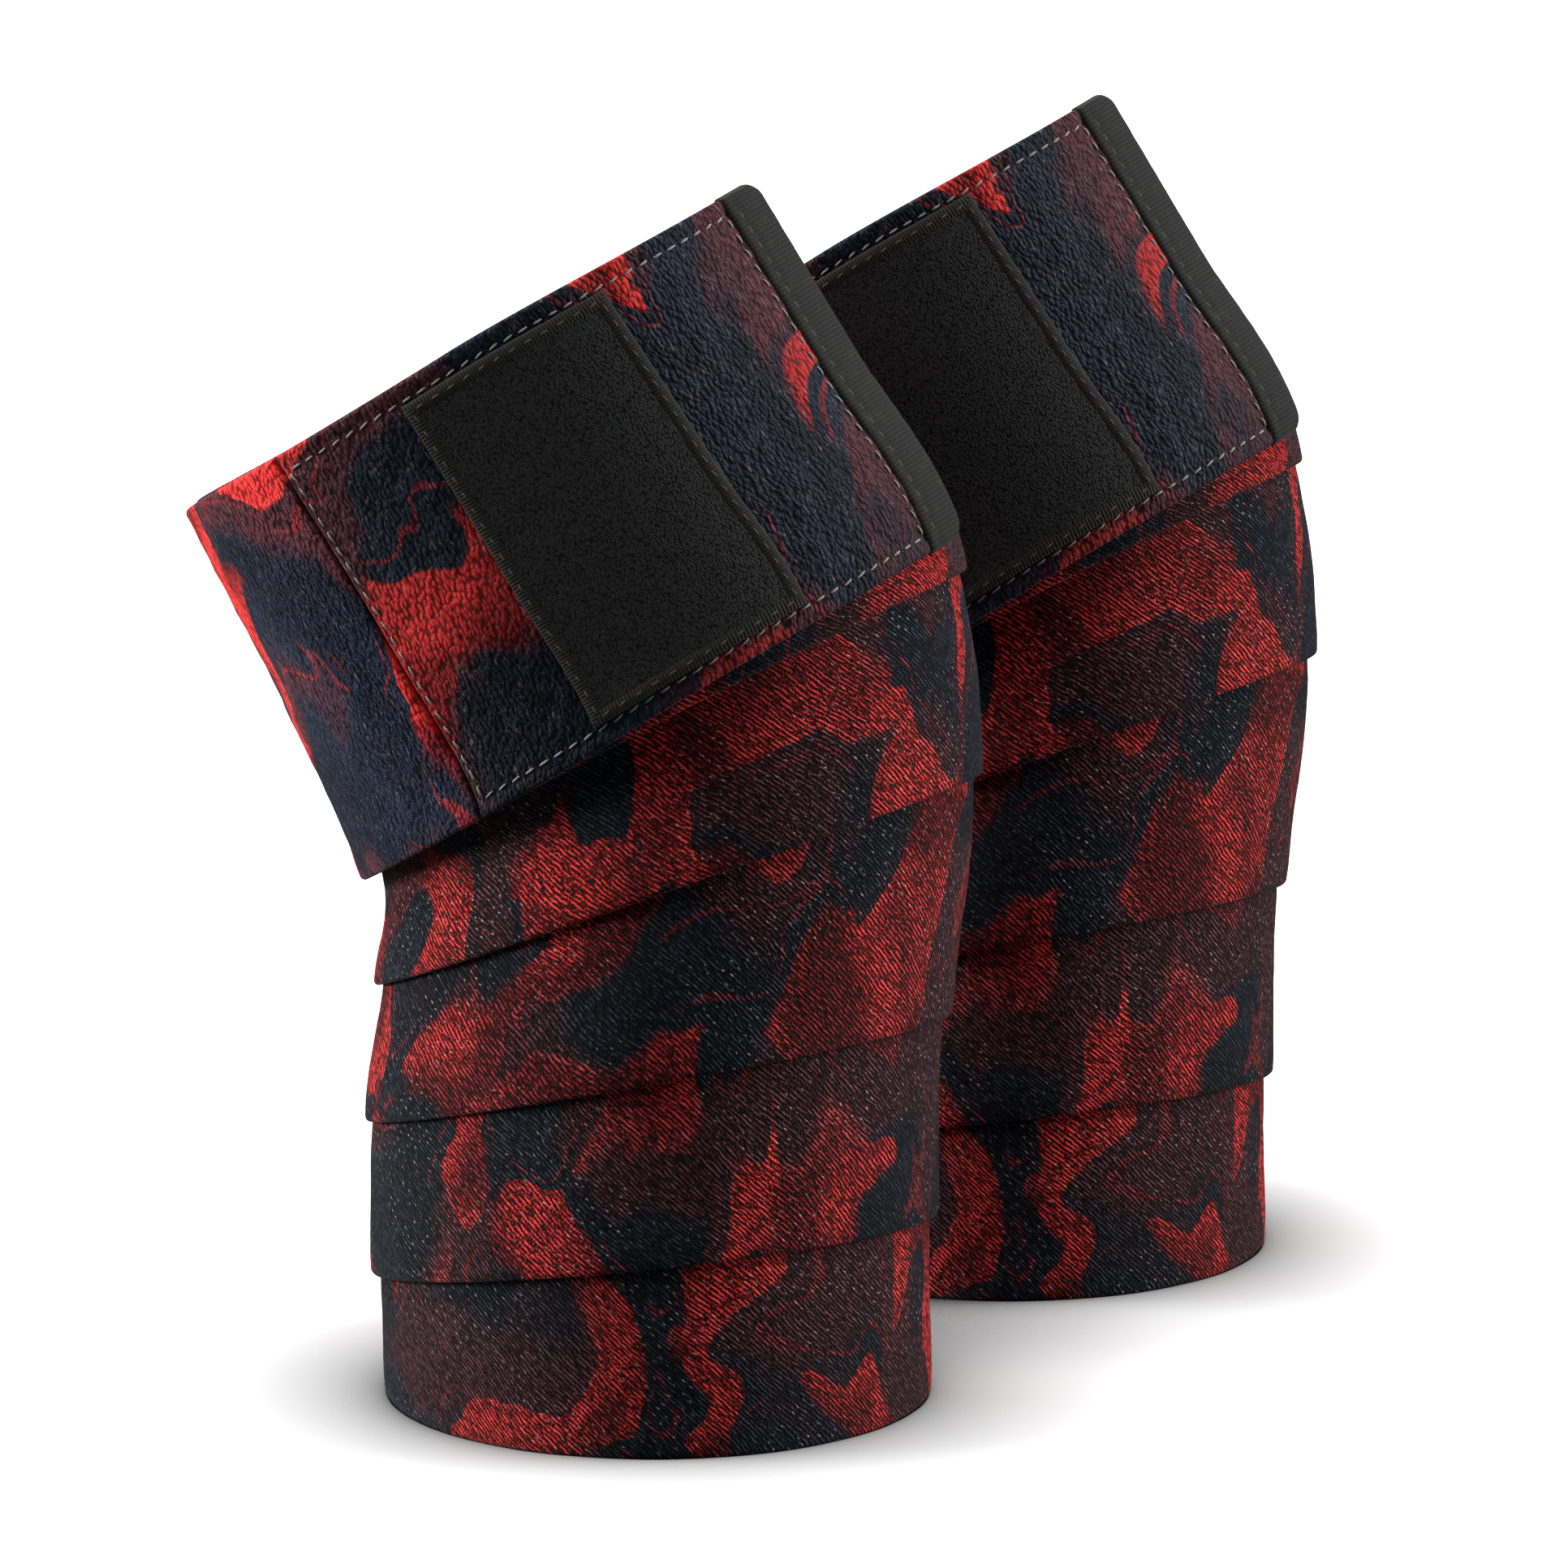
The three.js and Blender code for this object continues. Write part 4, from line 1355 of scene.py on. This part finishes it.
    def bind(self) -> bpy.types.Object:
        """Models the tape folded over the tab's end, with a rounded corner at top and bottom.

        Returns:
            The tape.
        """
        start, end = self.tab_length - self.binding_width, self.tab_length + self.binding_reach
        over, corner = self.binding_overhang, self.binding_corner
        a = with_soft_ends(start, end, self.binding_round, 1.2)
        s = with_soft_ends(-over, WINDING.width + over, self.binding_round, 1.6)
        builder = SheetBuilder(a, s, self.binding_round)
        past = np.clip((builder.x - (end - corner)) / corner, 0, 1)
        pulled = corner * (1 - np.sqrt(1 - past**2))
        centre = WINDING.width / 2
        reach = (centre + over - pulled) / (centre + over)
        up = centre + (builder.y - centre) * reach
        middle = (self.facing[0] + self.facing[1]) / 2
        swell = 0.06 * ripple(builder.x, up, 4.5, 3.0)
        from_row = builder.x - start - self.binding_row
        stitched = self.row_dent * np.exp(-((from_row / self.row_width) ** 2))
        half = (self.binding_half + swell - stitched) * builder.full
        outer = CHART.place(builder.x, up, middle + half)
        inner = CHART.place(builder.x, up, middle - half)
        uv = np.stack([up * MM, builder.x * MM], -1)
        obj = builder.build(f"{self.side.label}_bound_end", self.side.stand(outer),
                            self.side.stand(inner), uv)
        dress(obj, self.finishes.binding, self.finishes.binding)
        return obj

    def seams(self) -> list[bpy.types.Object]:
        """Models the rows of stitching on the tab.

        Returns:
            The seams of the facing, the patch and the binding.
        """
        low, high = self.seam_inset, WINDING.width - self.seam_inset
        last = self.tab_length - self.binding_width - 0.8
        stop = self.patch_start + self.patch_length
        half = self.border_width / 2
        frame_low, frame_high = self.patch_inset + half, WINDING.width - self.patch_inset - half
        frame_start, frame_stop = self.patch_start + half, stop - half
        first = self.seam_start
        box = [[(first, low), (last, low)], [(last, high), (first, high)],
               [(first, high), (first, low)], [(last, low), (last, high)]]
        rectangle = [[(frame_start, frame_low), (frame_stop, frame_low)],
                     [(frame_stop, frame_low), (frame_stop, frame_high)],
                     [(frame_stop, frame_high), (frame_start, frame_high)],
                     [(frame_start, frame_high), (frame_start, frame_low)]]
        on_binding = self.tab_length - self.binding_width + self.binding_row
        top = self.facing[1]
        rows = [
            (Seam(self.side, "tab_seam", box, top - 0.12, lifts=(0, 0, 0.34, 0.3)),
             "tab_stitching", "pale_thread", self.finishes.pale_thread),
            (Seam(self.side, "patch_seam", rectangle, top + 0.82, width=0.4),
             "patch_stitching", "dark_thread", self.finishes.dark_thread),
            (Seam(self.side, "binding_seam", [[(on_binding, 3), (on_binding, 77)]], top + 0.5),
             "binding_stitching", "dark_thread", self.finishes.dark_thread),
        ]
        made = []
        for seam, node, slot, thread in rows:
            piece = seam.build(thread)
            if node == "tab_stitching":
                self.bend_with_tab(piece, node)
            else:
                self.attach(piece, node, "tab")
            made.append(piece)
        return made


# --- Stage ------------------------------------------------------------------------------------
@dataclass(frozen=True)
class Studio:
    """A pale floor, soft light and the camera."""

    eye: tuple[float, float, float] = (0.0029, -2.0938, 0.547)
    pitch: float = 11.865
    lens: float = 244.6
    sensor: float = 36
    sky_top: tuple[float, float, float, float] = (0.76, 0.96, 0.005, 2.7)
    sky_sides: tuple[float, float, float, float] = (0.84, 0.99, 0, 1.8)
    sky_seen: float = 1.05
    floor_glow: float = 0.5
    floor_white: float = 0.98
    floor_bounce: float = 0.10
    shadow_reach: float = 0.065
    shadow_lean: tuple[float, float, float] = (-0.62, 0.38, 0.69)
    lights: tuple[tuple[str, float, float, float, float], ...] = (
        ("back_light", 0.9, 50, 41, -149),
        ("left_light", 3.2, 28, 72, -90),
        ("right_light", 2.4, 28, 72, 96),
    )

    def build(self) -> None:
        """Sets up the camera, the floor, the sky and the lights."""
        scene = bpy.context.scene
        scene.view_settings.view_transform = "Standard"
        camera = bpy.data.cameras.new("camera")
        camera.lens, camera.sensor_width = self.lens, self.sensor
        camera.clip_end = 50
        eye = bpy.data.objects.new("camera", camera)
        eye.location = self.eye
        eye.rotation_euler = (math.radians(90 - self.pitch), 0, 0)
        scene.collection.objects.link(eye)
        scene.camera = eye
        self.floor()
        self.sky()
        self.lamps()

    def floor(self) -> None:
        """The floor, which reaches past the edge of every view."""
        deselect()
        bpy.ops.mesh.primitive_plane_add(size=40, location=(0, 0, 0))
        plane = bpy.context.object
        plane.name = "floor"
        material = bpy.data.materials.new("Floor")
        material.use_nodes = True
        shader = material.node_tree.nodes["Principled BSDF"]
        n = Nodes(material.node_tree)
        seen = n.add("ShaderNodeLightPath").outputs["Is Camera Ray"]
        # Painted contact shadow: an occlusion node darkens the floor's colour and its glow next to
        # the wraps, for camera rays only.
        sides = {"Distance": self.shadow_reach, "Normal": self.shadow_lean}
        near = n.add("ShaderNodeAmbientOcclusion", sides, samples=24)
        painted_shadow_factor = n.math("SUBTRACT", n.math("MULTIPLY", near.outputs["AO"], 1.6), 0.6, True)
        pale = n.mix(painted_shadow_factor, (0, 0, 0, 1), (self.floor_white,) * 3 + (1,))
        white = n.mix(seen, (self.floor_bounce,) * 3 + (1,), pale)
        n.tree.links.new(white, shader.inputs["Base Color"])
        lit = n.mix(painted_shadow_factor, (0, 0, 0, 1), (self.floor_glow,) * 3 + (1,))
        glow = n.mix(seen, (0, 0, 0, 1), lit)
        n.tree.links.new(glow, shader.inputs["Emission Color"])
        shader.inputs["Emission Strength"].default_value = 1
        shader.inputs["Roughness"].default_value = 0.9
        shader.inputs["Specular IOR Level"].default_value = 0.0
        dress(plane, material)

    def sky(self) -> None:
        """A white surround, brightest overhead, that the camera sees as plain white."""
        world = bpy.data.worlds.new("studio")
        bpy.context.scene.world = world
        world.use_nodes = True
        world.node_tree.nodes.clear()
        n = Nodes(world.node_tree)
        way = n.add("ShaderNodeTexCoord").outputs["Generated"]
        height = n.add("ShaderNodeSeparateXYZ", {0: way}).outputs[2]
        side = n.math("ABSOLUTE", n.add("ShaderNodeSeparateXYZ", {0: way}).outputs[0])
        overhead = n.fade(height, *self.sky_top)
        soft = n.math("ADD", overhead, n.fade(side, *self.sky_sides))
        seen = n.add("ShaderNodeLightPath").outputs["Is Camera Ray"]
        share = n.add("ShaderNodeMix", {0: seen, 2: soft, 3: self.sky_seen}).outputs[0]
        back = n.add("ShaderNodeBackground", {"Color": (1, 1, 1, 1), "Strength": share})
        out = n.add("ShaderNodeOutputWorld")
        n.tree.links.new(back.outputs[0], out.inputs["Surface"])

    def lamps(self) -> None:
        """Wide soft lights: one from the upper left behind the wraps and one at each side."""
        for name, energy, spread, tip, turn in self.lights:
            light = bpy.data.lights.new(name, "SUN")
            light.energy, light.angle = energy, math.radians(spread)
            lamp = bpy.data.objects.new(name, light)
            lamp.rotation_euler = (math.radians(tip), 0, math.radians(turn))
            bpy.context.scene.collection.objects.link(lamp)


def main() -> None:
    """Builds the stage and both wraps."""
    logging.basicConfig(level=logging.INFO, format="%(message)s")
    Studio().build()
    turning = Strip(Side.FRONT).stations()
    length = float(Strip.lengths(turning)[-1])
    LOG.info("strip %.3f m long", length)
    finishes = Finishes(Effects(), length)
    for side in Side:
        Wrap(side, finishes, length).build()


if __name__ == "__main__":
    main()
